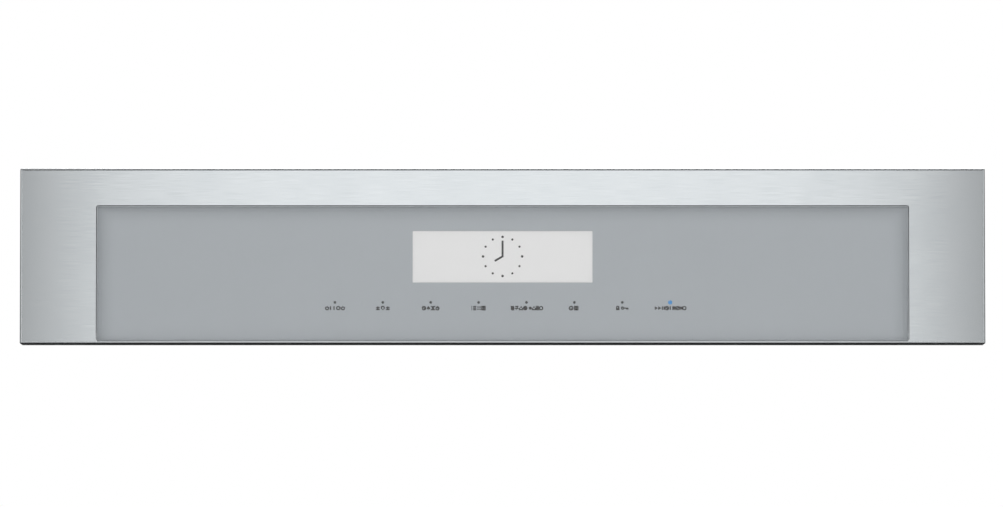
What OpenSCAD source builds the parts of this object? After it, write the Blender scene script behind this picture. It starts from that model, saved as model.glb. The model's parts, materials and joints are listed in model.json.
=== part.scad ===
// Control panel of a built-in speed oven: a bent stainless fascia with a flush glass
// touch panel, and the boards, display, brackets and air outlet that it carries behind.
// Millimetres. X runs along the width, the face looks towards -Y, and +Z is up.
// The origin lies midway between the two fixing screw holes, on the underside.

/* [Fascia] */
// Width of the panel
fascia_w = 755.6; // [740:0.2:800]
// Height of the face
fascia_h = 137.5; // [132:0.5:160]
// Depth of the bent sides
fascia_d = 26; // [25:0.5:32]
// Thickness of the stainless sheet
sheet_t = 1; // [0.8:0.1:1.2]
// Outer radius of every bend
bend_r = 1.8; // [1.4:0.1:2.4]
// Radius of the four corners seen from the front
corner_r = 1.2; // [0.6:0.1:2]
// Width of the returns turned in behind the sides and the top
return_w = 9; // [6:0.5:11]
// Distance from the face back to the line of the fixing screws
screw_setback = 14; // [12:0.5:17]
// Radius of a fixing screw hole
screw_hole_r = 2.25; // [2:0.05:2.6]
// Length of the air outlet slot in the underside
slot_w = 621.2; // [560:0.2:624]
// Depth of the air outlet slot
slot_d = 13; // [10:0.5:14]
// Steel left between the face and the slot
slot_front = 5; // [4.5:0.1:6]

/* [Window and glass] */
// Width of the window in the fascia
window_w = 636.4; // [610:0.2:640]
// Height of the window
window_h = 106.6; // [104:0.2:110]
// Steel left below the window
window_lift = 2; // [1.8:0.1:4]
// Radius of the window corners
window_r = 1.6; // [1.4:0.1:4]
// Thickness of the glass
glass_t = 4; // [3:0.1:5]
// Gap between the glass and the window
glass_gap = 0.55; // [0.5:0.05:1.4]
// How far the glass lies behind the face
glass_sink = 0.3; // [0:0.05:0.6]
// Width of the unprinted border that the bonding tape covers
border_w = 4; // [3:0.2:6]

/* [Display and keys] */
// Width of the lit display
display_w = 141; // [120:0.2:150]
// Height of the lit display
display_h = 40.5; // [34:0.5:42]
// Height of the display centre over the window's lower edge
display_lift = 66.5; // [65:0.1:70]
// Number of touch keys
key_count = 8; // [6:2:8]
// Distance from key to key
key_pitch = 37.5; // [35:0.1:39]
// Height of the indicator dots over the window's lower edge
dot_lift = 30.7; // [29:0.1:31.5]
// Radius of an indicator dot
dot_r = 0.75; // [0.6:0.05:1.1]
// Radius of the start key's dot
start_dot_r = 1.35; // [1:0.05:1.6]

/* [Brackets and carrier] */
// Width of a bracket
bracket_w = 30; // [26:0.5:32]
// Thickness of the bracket sheet
bracket_t = 1.2; // [1:0.1:1.5]
// Room between a bracket and the return of the fascia
bracket_room = 4.8; // [3:0.1:6]
// How far the seating plane lies behind the fascia
seat_reach = 8; // [7:0.5:12]
// Thickness of the moulded carrier
carrier_t = 2.2; // [1.8:0.1:3]
// Height of the ribs behind the carrier
rib_h = 4.5; // [3.8:0.1:6]
// Thickness of the ribs
rib_t = 1.6; // [1.2:0.1:2]

/* [Trays] */
// Width of a board tray
tray_w = 140; // [128:0.5:144]
// Height of a board tray
tray_h = 84; // [78:0.5:86]
// Thickness of a tray's floor and walls
tray_t = 1.6; // [1.2:0.1:2]
// Height of the posts under a board
post_h = 3.2; // [2.5:0.1:4]
// Thickness of the circuit boards
pcb_t = 1.6; // [1:0.1:2]

/* [Hidden] */
$fn = 48;
// Overrun of every cut, and gap between neighbours that do not touch
cut = 1;
part_gap = 0.3;
pin_gap = 0.05;
screw_gap = 0.3;
// Half the flat left at the round ends of a slot
end_flat = 0.1;

// Fascia
half_w = fascia_w / 2;
face_y = -screw_setback;
inner_y = face_y + sheet_t;
back_y = face_y + fascia_d;
seat_y = back_y + seat_reach;
relief = 3;
relief_r = 1.4;
slit_t = 0.6;
slot_r = 2;
slot_y = face_y + slot_front + slot_d / 2;
window_x = window_w / 2;
window_zc = window_lift + window_h / 2;
window_top = window_lift + window_h;
lip_start = 3.5;

// Glass, film and tape, from the face backwards
glass_w = window_w - 2 * glass_gap;
glass_h = window_h - 2 * glass_gap;
glass_r = window_r - glass_gap / 2;
glass_y0 = face_y + glass_sink;
glass_y1 = glass_y0 + glass_t;
glass_low = window_lift + glass_gap;
glass_top = window_top - glass_gap;
print_gap = 0.05;
film_t = 0.2;
film_y0 = glass_y1 + print_gap;
film_y1 = film_y0 + film_t;
tape_t = 1.2;
tape_y1 = glass_y1 + tape_t;
// Least inset at which the tape's square corners stay behind the glass's round ones
tape_inset = glass_r / 3;

// Studs and brackets
web_x = half_w - return_w - bracket_room;
bracket_x0 = web_x - bracket_w;
stud_x = web_x - bracket_w / 2;
bracket_y1 = inner_y + bracket_t;
bend_room = bend_r - sheet_t;
bracket_top = fascia_h - sheet_t - part_gap;
throat_gap = 2;
throat_top = fascia_h - return_w - throat_gap;
web_y1 = back_y - sheet_t - part_gap;
base_reach = 7;
stud_r = 2;
stud_base_r = 2.75;
stud_base_t = 0.7;
stud_low = 46;
stud_pitch = 46;
stud_zs = [stud_low, stud_low + stud_pitch];
nut_af = 7;
nut_h = 3.2;
nut_flange_r = 4.4;
nut_flange_t = 0.8;
thread_end = 1.2;
foot_h = 24;
foot_low = 12;
foot_r = 3;
foot_zs = [foot_low + foot_h / 2, throat_top - foot_h / 2];
hook_top = 96;
hook_h = 8;
hook_l = 7;
hook_nose = 3.5;
hook_drop = 4;
fold_r = 1.9;
web_slot_w = 7;
web_slot_h = 18;
web_slot_z = 50;

// Carrier
carrier_over = 5;
carrier_lift = 8;
carrier_x = window_x + carrier_over;
carrier_low = window_lift + carrier_lift;
carrier_top = window_top + carrier_over;
carrier_r = 4;
carrier_y0 = tape_y1;
carrier_y1 = carrier_y0 + carrier_t;
rib_y1 = carrier_y1 + rib_h;
rim_t = 2;
wing_r = 8;
stud_boss_r = 4.6;
boss_r = 3.4;
lip_y1 = carrier_y0 - part_gap;

// Display stack
display_z = window_lift + display_lift;
can_t = 0.5;
can_border = 6;
can_w = display_w + 2 * can_border;
can_h = display_h + 2 * can_border;
can_r = 1.5;
gasket_t = 0.75;
gasket_w = 3;
can_y0 = film_y1 + gasket_t;
lcd_t = 1.8;
backlight_t = 3.5;
lcd_w = can_w - 2 * (can_t + part_gap);
lcd_h = can_h - 2 * (can_t + part_gap);
lcd_r = 0.6;
can_y1 = can_y0 + lcd_t + backlight_t + can_t;
pocket_t = 2;
clamp_t = 1;
clamp_margin = 18;
clamp_w = can_w + 2 * clamp_margin;
clamp_h = can_h - 2 * can_border + pocket_t;
clamp_r = 4;
clamp_y1 = can_y1 + clamp_t;
clamp_x = can_w / 2 + clamp_margin / 2;
clamp_dz = clamp_h / 2 - 2 * clamp_r;
pillar_h = 5;
pillar_af = 5;
board_y0 = clamp_y1 + pillar_h;
board_y1 = board_y0 + pcb_t;
board_w = 104;
board_h = 42;
board_r = 2;
pillar_x = board_w / 2 - pillar_af;
pillar_dz = board_h / 2 - pillar_af;
window_margin = 12;

// Screws: radius of the shank, radius and height of the head
screw_r = 1.25;
head_r = 2.5;
head_h = 1.7;
bite = 2.5;

// Touch board, keys and lamps
dot_z = window_lift + dot_lift;
pad_w = 16;
pad_h = 12;
pad_drop = 2;
pad_z = dot_z - pad_drop;
pad_room = 0.4;
touch_gap = 1.5;
touch_y0 = carrier_y1 + touch_gap;
touch_t = 1.2;
touch_y1 = touch_y0 + touch_t;
touch_h = 17;
touch_margin = 9;
touch_w = key_count * key_pitch - key_pitch + pad_w + 2 * touch_margin;
touch_r = 1.5;
touch_screw_x = touch_w / 2 - boss_r - touch_r;
touch_boss_r = 2.6;
key_xs = [for (i = [0 : key_count - 1]) (i - (key_count - 1) / 2) * key_pitch];
start_x = key_xs[key_count - 1];
pipe_wall = 0.25;
pipe_gap = 0.3;
led_w = 1.6;
led_h = 0.9;
led_t = 0.7;

// Trays and their boards
tray_margin = 17.2;
tray_x1 = carrier_x - tray_margin;
tray_x = tray_x1 - tray_w / 2;
tray_x0 = tray_x1 - tray_w;
tray_drop = 10.7;
tray_z = pad_z - tray_drop + tray_h / 2;
tray_r = 4;
tray_floor = rib_y1 + tray_t;
wall_h = 9;
tray_y1 = tray_floor + wall_h;
pcb_y0 = tray_floor + post_h;
pcb_y1 = pcb_y0 + pcb_t;
pcb_room = 0.6;
pcb_w = tray_w - 2 * (tray_t + pcb_room);
pcb_h = tray_h - 2 * (tray_t + pcb_room);
pcb_r = 2.5;
pcb_screw_inset = 5;
socket_room = 15;
pcb_screw_x = pcb_w / 2 - pcb_screw_inset;
pcb_screw_z = pcb_h / 2 - pcb_screw_inset;
ear_r = 4.4;
ear_shares = [-0.33, 0.72];
ear_reach = tray_w / 2 + ear_r;
vent_w = 2;
vent_count = 9;
vent_share = 0.62;
claw_w = 7;
claw_nose = 1.5;
claw_t = 1.2;
claw_slit = 0.9;
claw_shares = [-0.28, 0.28];

// Flat cables and their sockets
ribbon_t = 0.3;
display_ribbon_w = 20;
touch_ribbon_w = 10;
solder_l = 12;
// Run of the touch board's flat cable between its solder joint and the screw beside it
touch_run = 13.4;
socket_x = tray_x0 + 9;
socket_d = 5.6;
socket_h = 3.2;
socket_wall = 1.6;
mouth_rise = 0.8;
mouth_h = 0.5;
mouth_l = 4;
flap_t = 1.2;
flap_rise = 1.6;
flap_gap = 0.15;
heel_x = socket_x + 3.4;
heel_y = pcb_y1 + flap_rise + flap_t / 2;
trunnion_r = 0.35;
trunnion_l = 0.8;
ribbon_y = pcb_y1 + mouth_rise + pin_gap;
ribbon_steps = 24;

// Link cable and earth lead
cable_r = 1.7;
cable_sides = 10;
cable_steps = 9;
cable_sag = 2.4;
cable_z = display_z + can_h / 2 + cable_r;
cable_y = pcb_y1 + head_h + part_gap + cable_r;
header_w = 7;
header_d = 2 * (cable_y - pcb_y1);
header_h = 10;
header_inset = 9;
header_x = tray_x0 + tray_t + pcb_room + header_inset;
header_z = min(cable_z, tray_z + (pcb_h - header_h) / 2);
clip_share = 0.64;
clip_w = 5;
clip_wall = 1.6;
lead_r = 1.1;
lead_bend = 6;
lead_y = tray_y1 + lead_r + part_gap;
lead_z = 66;
ring_r = 4.4;
ring_hole_r = 2.1;
ring_t = 0.8;
ring_l = 9;
earth_screw_r = 1.95;

// Rails between the brackets
rail_t = 1;
rail_x = web_x - bracket_t - part_gap;
rail_low = 108;
rail_h = 18;
rail_y1 = seat_y - bracket_t - part_gap * 2;
rail_y0 = tray_y1 + part_gap;
rail_d = rail_y1 - rail_y0;
rail_hole_w = 40;
rail_hole_h = 8;
rail_hole_count = 7;
rail_fold_r = 1.7;
baffle_low = 9;
baffle_z = 14;
baffle_y0 = rib_y1 + 2 * part_gap;
flange_w = 9;
flange_h = 12;
rail_screw_r = 1.5;
rail_screw_l = 10;

// Outlet grille
grille_t = 1.2;
grille_lip = 2;
grille_top = sheet_t + 7;
vane_pitch = 12;
vane_rise = 1.8;
vane_count = floor((slot_w - 2 * grille_t) / vane_pitch) - 1;
blade_w = 6;
blade_angle = 35;
blade_shares = [0.3, 0.72];

// Top seal
seal_h = 7;

// A block between two opposite corners
module block(a, b) {
    translate(a) cube(b - a);
}

// A rectangle with round corners, centred
module round_rect(w, h, r) {
    square([w - 2 * r, h], center = true);
    square([w, h - 2 * r], center = true);
    for (x = [-1, 1], z = [-1, 1])
        translate([x * (w / 2 - r), z * (h / 2 - r)]) circle(r);
}

// An upright plate with round corners, centred on x and z, from depth y0 back to y1
module plate(x, z, w, h, r, y0, y1) {
    translate([x, y1, z]) rotate([90, 0, 0]) linear_extrude(y1 - y0) round_rect(w, h, r);
}

// A round pin along the depth
module pin(x, z, r, y0, y1) {
    translate([x, y0, z]) rotate([-90, 0, 0]) cylinder(h = y1 - y0, r = r);
}

// A six-sided prism along the depth, given across its flats
module hex_pin(x, z, af, y0, y1) {
    translate([x, y0, z]) rotate([-90, 0, 0]) cylinder(h = y1 - y0, r = af / sqrt(3), $fn = 6);
}

// A profile drawn in depth and height, pulled along the width
module along_x(x0, x1) {
    translate([x0, 0, 0]) rotate([90, 0, 90]) linear_extrude(x1 - x0) children();
}

// A pan-head screw along the depth, with its head's seat at y and its point forwards
module screw(x, z, y, l) {
    pin(x, z, screw_r, y - l, y + head_h / 2);
    difference() {
        pin(x, z, head_r, y, y + head_h);
        for (a = [0, 90])
            translate([x, y + head_h, z]) rotate([0, a, 0])
                cube([head_r * 1.2, head_h, head_r / 4], center = true);
    }
}

// What a round bend leaves out of a square corner at the origin, with the sheet in +X, +Y
module round_off(r) {
    difference() {
        translate([-cut, -cut]) square(r + cut);
        translate([r, r]) circle(r);
    }
}

module both_sides() {
    children();
    mirror([1, 0, 0]) children();
}

// Fascia: a bent pan with rounded bends, a window with a folded lip, returns, relief cuts
// at the corners, the outlet slot and the fixing holes
module bent_box(w, h, d, r) {
    intersection() {
        translate([0, d / 2, 0]) linear_extrude(h) round_rect(w, d, r);
        translate([-w / 2, d / 2, h / 2]) rotate([0, 90, 0]) linear_extrude(w) round_rect(h, d, r);
    }
}

module return_corner() {
    x = half_w - return_w;
    z = fascia_h - return_w;
    pin(x, z, relief_r, back_y - sheet_t - cut, back_y + cut);
    translate([x, back_y - sheet_t - cut, z]) rotate([0, -45, 0])
        translate([0, 0, -slit_t / 2]) cube([return_w * 1.2, sheet_t + 2 * cut, slit_t]);
}

module fascia() {
    color("#c6cace") {
        difference() {
            translate([0, face_y, 0]) intersection() {
                bent_box(fascia_w, fascia_h, fascia_d, bend_r);
                plate(0, fascia_h / 2, fascia_w, fascia_h, corner_r, 0, fascia_d);
            }
            translate([0, inner_y, sheet_t])
                bent_box(fascia_w - 2 * sheet_t, fascia_h - 2 * sheet_t,
                    fascia_d - 2 * sheet_t, bend_r - sheet_t);
            block([return_w - half_w, back_y - bend_r, sheet_t],
                [half_w - return_w, back_y + cut, fascia_h - return_w]);
            block([-half_w - cut, back_y - relief, -cut], [half_w + cut, back_y + cut, relief]);
            plate(0, window_zc, window_w, window_h, window_r, face_y - cut, inner_y + cut);
            translate([0, slot_y, -cut]) linear_extrude(sheet_t + 2 * cut)
                round_rect(slot_w, slot_d, slot_r);
            both_sides() translate([stud_x, 0, -cut])
                cylinder(h = sheet_t + 2 * cut, r = screw_hole_r);
            both_sides() return_corner();
        }
        difference() {
            plate(0, window_zc, window_w + 2 * sheet_t, window_h + 2 * sheet_t,
                window_r + sheet_t, inner_y - sheet_t / 2, lip_y1);
            plate(0, window_zc, window_w, window_h, window_r, face_y, lip_y1 + cut);
            block([-half_w, face_y, 0], [half_w, lip_y1 + cut, lip_start]);
        }
    }
}

module weld_studs() {
    color("#b8b2a6") both_sides() for (z = stud_zs) {
        pin(stud_x, z, stud_base_r, inner_y, inner_y + stud_base_t);
        pin(stud_x, z, stud_r, inner_y, carrier_y1 + nut_flange_t + nut_h + thread_end);
    }
}

// Bracket: a base on the studs, a web that reaches back, two feet on the seating plane,
// a hook that hangs in the oven's frame, and a sole over the fixing screw
module bracket() {
    difference() {
        union() {
            block([bracket_x0, inner_y, sheet_t + bend_room], [web_x, bracket_y1, bracket_top]);
            block([web_x - bracket_t, inner_y + bend_room, sheet_t], [web_x, web_y1, bracket_top]);
            block([web_x - bracket_t, inner_y, foot_low], [web_x, seat_y, throat_top]);
            block([bracket_x0, inner_y + bend_room, sheet_t],
                [web_x, base_reach, sheet_t + bracket_t]);
            for (z = foot_zs) {
                plate(stud_x, z, bracket_w, foot_h, foot_r, seat_y - bracket_t, seat_y);
                block([stud_x, seat_y - bracket_t, z - foot_h / 2], [web_x, seat_y, z + foot_h / 2]);
            }
            along_x(web_x - bracket_t, web_x) polygon([
                [seat_y - bracket_t, hook_top],
                [seat_y + hook_l, hook_top],
                [seat_y + hook_l, hook_top - hook_h - hook_drop],
                [seat_y + hook_l - hook_nose, hook_top - hook_h - hook_drop],
                [seat_y + hook_l - hook_nose, hook_top - hook_h],
                [seat_y - bracket_t, hook_top - hook_h]]);
        }
        translate([web_x, inner_y, 0]) mirror([1, 0, 0])
            linear_extrude(bracket_top + cut) round_off(fold_r);
        for (z = foot_zs) translate([web_x, seat_y, z - foot_h / 2]) rotate([0, 0, 180])
            linear_extrude(foot_h) round_off(fold_r);
        for (z = stud_zs)
            pin(stud_x, z, stud_base_r + screw_gap, inner_y - cut, bracket_y1 + cut);
        translate([stud_x, 0, sheet_t - cut]) cylinder(h = bracket_t + 2 * cut, r = screw_hole_r);
        along_x(web_x - bracket_t - cut, web_x + cut)
            translate([0, web_slot_z]) round_rect(web_slot_w, web_slot_h, web_slot_w / 2 - end_flat);
        web_hole(lead_y, lead_z, ring_hole_r);
        for (p = rail_screw_places) web_hole(p.x, p.y, rail_screw_r + screw_gap);
    }
}

// Places of the rail screws in depth and height
rail_screw_places = [
    [baffle_y0 + flange_w, baffle_z + rail_t + flange_h / 2],
    [rail_y0 + flange_w / 2, rail_low + rail_h / 2]];

module web_hole(y, z, r) {
    translate([rail_x - rail_t - cut, y, z]) rotate([0, 90, 0])
        cylinder(h = bracket_t + rail_t + 2 * cut + part_gap, r = r);
}

module right_bracket() {
    color("#a9adb0") bracket();
}

module left_bracket() {
    color("#a9adb0") mirror([1, 0, 0]) bracket();
}

module stud_nuts() {
    y = carrier_y1;
    color("#b9bbbd") both_sides() for (z = stud_zs) difference() {
        union() {
            pin(stud_x, z, nut_flange_r, y, y + nut_flange_t);
            hex_pin(stud_x, z, nut_af, y, y + nut_flange_t + nut_h);
        }
        pin(stud_x, z, stud_r + pin_gap, y - cut, y + nut_flange_t + nut_h + cut);
    }
}

// Top rail: a channel open to the front, with end flanges screwed to the webs
module top_rail() {
    color("#aeb2b5") difference() {
        union() {
            along_x(-rail_x, rail_x) difference() {
                translate([rail_y0, rail_low]) square([rail_d, rail_h]);
                translate([rail_y0 - cut, rail_low + rail_t])
                    square([rail_d - rail_t + cut, rail_h - 2 * rail_t]);
                translate([rail_y1, rail_low]) mirror([1, 0, 0]) round_off(rail_fold_r);
                translate([rail_y1, rail_low + rail_h]) rotate([0, 0, 180]) round_off(rail_fold_r);
            }
            both_sides() block([rail_x - rail_t, rail_y0, rail_low], [rail_x, rail_y1, rail_low + rail_h]);
        }
        for (i = [1 : rail_hole_count])
            plate(-rail_x + i * 2 * rail_x / (rail_hole_count + 1), rail_low + rail_h / 2,
                rail_hole_w, rail_hole_h, rail_hole_h / 2 - end_flat, rail_y1 - rail_t - cut, rail_y1 + cut);
        both_sides() web_hole(rail_screw_places[1].x, rail_screw_places[1].y, rail_screw_r + screw_gap);
    }
}

// Air baffle: the ceiling of the air path to the outlet, turned down behind the carrier
module air_baffle() {
    color("#b4b8ba") difference() {
        union() {
            along_x(-rail_x, rail_x) polygon([
                [baffle_y0, baffle_low],
                [baffle_y0 + rail_t, baffle_low],
                [baffle_y0 + rail_t, baffle_z],
                [rail_y1, baffle_z],
                [rail_y1, baffle_z + rail_t],
                [baffle_y0, baffle_z + rail_t]]);
            both_sides() block([rail_x - rail_t, baffle_y0, baffle_z],
                [rail_x, baffle_y0 + 2 * flange_w, baffle_z + rail_t + flange_h]);
        }
        both_sides() web_hole(rail_screw_places[0].x, rail_screw_places[0].y, rail_screw_r + screw_gap);
    }
}

module rail_screws() {
    color("#8f9396") both_sides() for (p = rail_screw_places) translate([web_x, p.x, p.y]) {
        rotate([0, -90, 0]) cylinder(h = rail_screw_l, r = rail_screw_r);
        rotate([0, 90, 0]) cylinder(h = head_h, r = head_r + rail_screw_r / 2);
    }
}

// Outlet grille: a lipped frame in the slot, upright vanes and two slanted blades
module outlet_grille() {
    inner_w = slot_w - 2 * (part_gap + grille_t);
    inner_d = slot_d - 2 * (part_gap + grille_t);
    color("#1b1c1e") {
        difference() {
            union() {
                translate([0, slot_y, 0]) linear_extrude(grille_top)
                    round_rect(slot_w - 2 * part_gap, slot_d - 2 * part_gap, slot_r - part_gap);
                translate([0, slot_y, sheet_t]) linear_extrude(grille_t)
                    round_rect(slot_w + 2 * grille_lip, slot_d + 2 * grille_lip, slot_r);
            }
            translate([0, slot_y, -cut]) linear_extrude(grille_top + 2 * cut)
                square([inner_w, inner_d], center = true);
        }
        for (i = [0 : vane_count]) {
            x = (i - vane_count / 2) * vane_pitch;
            block([x - grille_t / 2, slot_y - slot_d / 2 + grille_t, sheet_t + vane_rise],
                [x + grille_t / 2, slot_y + slot_d / 2 - grille_t, grille_top]);
        }
        for (s = blade_shares)
            translate([0, slot_y + (s - 0.5) * inner_d, (grille_top + sheet_t + vane_rise) / 2])
                rotate([blade_angle, 0, 0])
                    cube([inner_w + grille_t, grille_t / 1.5, blade_w], center = true);
    }
}

module top_seal() {
    z = fascia_h - return_w / 2;
    color("#2a2b2d") along_x(return_w - half_w, half_w - return_w) intersection() {
        translate([back_y, z - seal_h / 2]) square([seat_reach, seal_h]);
        union() {
            translate([back_y, z - seal_h / 2]) square([seat_reach - seal_h / 2, seal_h]);
            translate([back_y + seat_reach - seal_h / 2, z]) circle(seal_h / 2);
        }
    }
}

module glass_panel() {
    color("#a3a9ae", 0.6) plate(0, window_zc, glass_w, glass_h, glass_r, glass_y0, glass_y1);
}

module decor_film() {
    w = glass_w - 2 * border_w;
    color("#a3a9ae") difference() {
        block([-w / 2, film_y0, glass_low], [w / 2, film_y1, glass_top - border_w]);
        plate(0, display_z, display_w, display_h, lcd_r, film_y0 - cut, film_y1 + cut);
        for (x = key_xs)
            pin(x, dot_z, x == start_x ? start_dot_r : dot_r, film_y0 - cut, film_y1 + cut);
    }
}

module bonding_tape() {
    w = glass_w - 2 * border_w + 2 * print_gap;
    color("#90969b") difference() {
        block([-glass_w / 2 + tape_inset, glass_y1, glass_low + tape_inset],
            [glass_w / 2 - tape_inset, tape_y1, glass_top - tape_inset]);
        block([-w / 2, glass_y1 - cut, glass_low - cut],
            [w / 2, tape_y1 + cut, glass_top - border_w + print_gap]);
    }
}

// Glass carrier: a moulded plate behind the glass with a rim, ribs, bosses, a pocket for
// the display, cut-outs for the touch pads and posts with cable clips
module glass_carrier() {
    w = 2 * carrier_x;
    h = carrier_top - carrier_low;
    zc = (carrier_top + carrier_low) / 2;
    rib_shares = [0.06, 0.35, 0.65, 0.94];
    shelf_shares = [0.3, 0.62];
    color("#232427") difference() {
        union() {
            plate(0, zc, w, h, carrier_r, carrier_y0, carrier_y1);
            difference() {
                plate(0, zc, w, h, carrier_r, carrier_y0, rib_y1);
                plate(0, zc, w - 2 * rim_t, h - 2 * rim_t, carrier_r - rim_t, carrier_y1, rib_y1 + cut);
            }
            both_sides() {
                for (z = stud_zs) {
                    block([carrier_x - carrier_r, carrier_y0, z - wing_r], [stud_x, carrier_y1, z + wing_r]);
                    pin(stud_x, z, wing_r, carrier_y0, carrier_y1);
                    pin(stud_x, z, stud_boss_r, bracket_y1, carrier_y1);
                }
                for (s = rib_shares)
                    block([tray_x0 + s * tray_w - rib_t / 2, carrier_y0, carrier_low + rim_t / 2],
                        [tray_x0 + s * tray_w + rib_t / 2, rib_y1, carrier_top - rim_t / 2]);
                for (s = shelf_shares)
                    block([tray_x0 - ear_r, carrier_y0, carrier_low + s * h - rib_t / 2],
                        [carrier_x - rim_t / 2, rib_y1, carrier_low + s * h + rib_t / 2]);
                for (s = ear_shares, d = [-1, 1])
                    pin(tray_x + d * ear_reach, tray_z + s * tray_h / 2, boss_r, carrier_y0, rib_y1);
                for (d = [-1, 1])
                    pin(clamp_x, display_z + d * clamp_dz, boss_r, carrier_y0, can_y1);
                cable_clip(clip_share * header_x);
            }
            for (z = [carrier_low + rim_t * 2.5, carrier_top - rim_t * 4.5])
                block([-carrier_x + rim_t / 2, carrier_y0, z - rib_t / 2],
                    [carrier_x - rim_t / 2, rib_y1, z + rib_t / 2]);
            plate(0, display_z, can_w + 2 * (part_gap + pocket_t), can_h + 2 * (part_gap + pocket_t),
                can_r + pocket_t, carrier_y0, can_y1 - part_gap);
            for (x = touch_screw_xs) pin(x, pad_z, touch_boss_r, carrier_y0, touch_y0);
            cable_clip(0);
        }
        plate(0, display_z, can_w + 2 * part_gap, can_h + 2 * part_gap, can_r,
            carrier_y0 - cut, can_y1 + cut);
        for (x = key_xs)
            plate(x, pad_z, pad_w + 2 * pad_room, pad_h + 2 * pad_room, pad_room,
                carrier_y0 - cut, carrier_y1 + cut);
        both_sides() {
            for (z = stud_zs) pin(stud_x, z, stud_base_r + screw_gap, inner_y, carrier_y1 + cut);
            for (s = ear_shares, d = [-1, 1])
                pilot(tray_x + d * ear_reach, tray_z + s * tray_h / 2, rib_y1);
            for (d = [-1, 1]) pilot(clamp_x, display_z + d * clamp_dz, can_y1);
            clip_bore(clip_share * header_x);
        }
        for (x = touch_screw_xs) pilot(x, pad_z, touch_y0);
        clip_bore(0);
    }
}

// Places of the touch board's screws, between the pads
touch_screw_xs = concat([for (d = [-1, 0, 1]) d * 2 * key_pitch], [-touch_screw_x, touch_screw_x]);

// A blind hole that a screw bites into from behind
module pilot(x, z, y) {
    pin(x, z, screw_r + pin_gap, y - bite, y + cut);
}

// A post that holds the link cable in an open clip
module cable_clip(x) {
    block([x - clip_w / 2, carrier_y0, cable_z - cable_r - clip_wall],
        [x + clip_w / 2, cable_y + cable_r, cable_z + cable_r + clip_wall]);
}

module clip_bore(x) {
    r = cable_r + 3 * pin_gap;
    translate([x, cable_y, cable_z]) rotate([0, 90, 0]) cylinder(h = clip_w + 2 * cut, r = r, center = true);
    block([x - clip_w / 2 - cut, cable_y, cable_z - 0.8 * r],
        [x + clip_w / 2 + cut, cable_y + 2 * cable_r, cable_z + 0.8 * r]);
}

module display_gasket() {
    color("#1f2022") difference() {
        plate(0, display_z, display_w + 2 * gasket_w, display_h + 2 * gasket_w, can_r, film_y1, can_y0);
        plate(0, display_z, display_w, display_h, lcd_r, film_y1 - cut, can_y0 + cut);
    }
}

module lcd_panel() {
    color("#dddddd") plate(0, display_z, lcd_w, lcd_h, lcd_r, can_y0, can_y0 + lcd_t);
}

module backlight() {
    color("#f2f3f0") plate(0, display_z, lcd_w, lcd_h, lcd_r,
        can_y0 + lcd_t, can_y0 + lcd_t + backlight_t);
}

module display_frame() {
    color("#b7babc") difference() {
        plate(0, display_z, can_w, can_h, can_r, can_y0, can_y1);
        plate(0, display_z, can_w - 2 * can_t, can_h - 2 * can_t, can_r - can_t,
            can_y0 - cut, can_y1 - can_t);
    }
}

// Display clamp: a plate with two windows that holds the display in its pocket
module display_clamp() {
    hole_w = clamp_w / 2 - window_margin * 2 - clamp_margin;
    color("#a7abae") difference() {
        plate(0, display_z, clamp_w, clamp_h, clamp_r, can_y1, clamp_y1);
        both_sides() {
            plate(window_margin / 2 + hole_w / 2, display_z, hole_w, clamp_h - window_margin,
                clamp_r, can_y1 - cut, clamp_y1 + cut);
            for (d = [-1, 1])
                pin(clamp_x, display_z + d * clamp_dz, screw_r + screw_gap, can_y1 - cut, clamp_y1 + cut);
        }
    }
}

module clamp_screws() {
    color("#8f9396") both_sides() for (d = [-1, 1])
        screw(clamp_x, display_z + d * clamp_dz, clamp_y1, bite + clamp_t - part_gap);
}

module board_pillars() {
    color("#b99a52") both_sides() for (d = [-1, 1]) difference() {
        hex_pin(pillar_x, display_z + d * pillar_dz, pillar_af, clamp_y1, board_y0);
        pilot(pillar_x, display_z + d * pillar_dz, board_y0);
    }
}

module display_board() {
    color("#1f5b3a") difference() {
        plate(0, display_z, board_w, board_h, board_r, board_y0, board_y1);
        both_sides() for (d = [-1, 1])
            pin(pillar_x, display_z + d * pillar_dz, screw_r + screw_gap, board_y0 - cut, board_y1 + cut);
    }
}

module pillar_screws() {
    color("#8f9396") both_sides() for (d = [-1, 1])
        screw(pillar_x, display_z + d * pillar_dz, board_y1, pcb_t + bite - part_gap);
}

// A chip on a board's back: its place as shares of the half board, and its size as
// width, depth off the board and height
module chip(centre, half, share, size, y) {
    translate([centre.x + share.x * half.x - size.x / 2, y, centre.y + share.y * half.y - size.z / 2])
        cube(size);
}

// Chips of the display board: processor, memory, driver, coil, crystal and lamp driver
display_chip_shares = [[-0.28, 0.05], [0.16, 0.36], [0.14, -0.38], [-0.72, 0.3], [-0.1, 0.66], [-0.7, -0.34]];
display_chip_sizes = [[17, 1.6, 17], [13, 1.2, 9], [8, 1.2, 8], [7.3, 3.4, 7.3], [5, 1.1, 3.2], [6, 1.4, 5]];

module display_chips() {
    color("#26272a") for (i = [0 : len(display_chip_sizes) - 1])
        chip([0, display_z], [board_w / 2, board_h / 2], display_chip_shares[i], display_chip_sizes[i], board_y1);
}

module touch_board() {
    color("#1f5b3a") difference() {
        plate(0, pad_z, touch_w, touch_h, touch_r, touch_y0, touch_y1);
        for (x = touch_screw_xs) pin(x, pad_z, screw_r + screw_gap, touch_y0 - cut, touch_y1 + cut);
    }
}

// Touch pads: soft conductive blocks from the board to the film, each round its lamp's pipe
module touch_pads() {
    color("#3a3c40") for (x = key_xs) difference() {
        plate(x, pad_z, pad_w, pad_h, pad_room, film_y1, touch_y0);
        pin(x, dot_z, pipe_r(x) + pipe_gap, film_y1 - cut, touch_y0 + cut);
    }
}

function pipe_r(x) = (x == start_x ? start_dot_r : dot_r) + pipe_wall;

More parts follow.
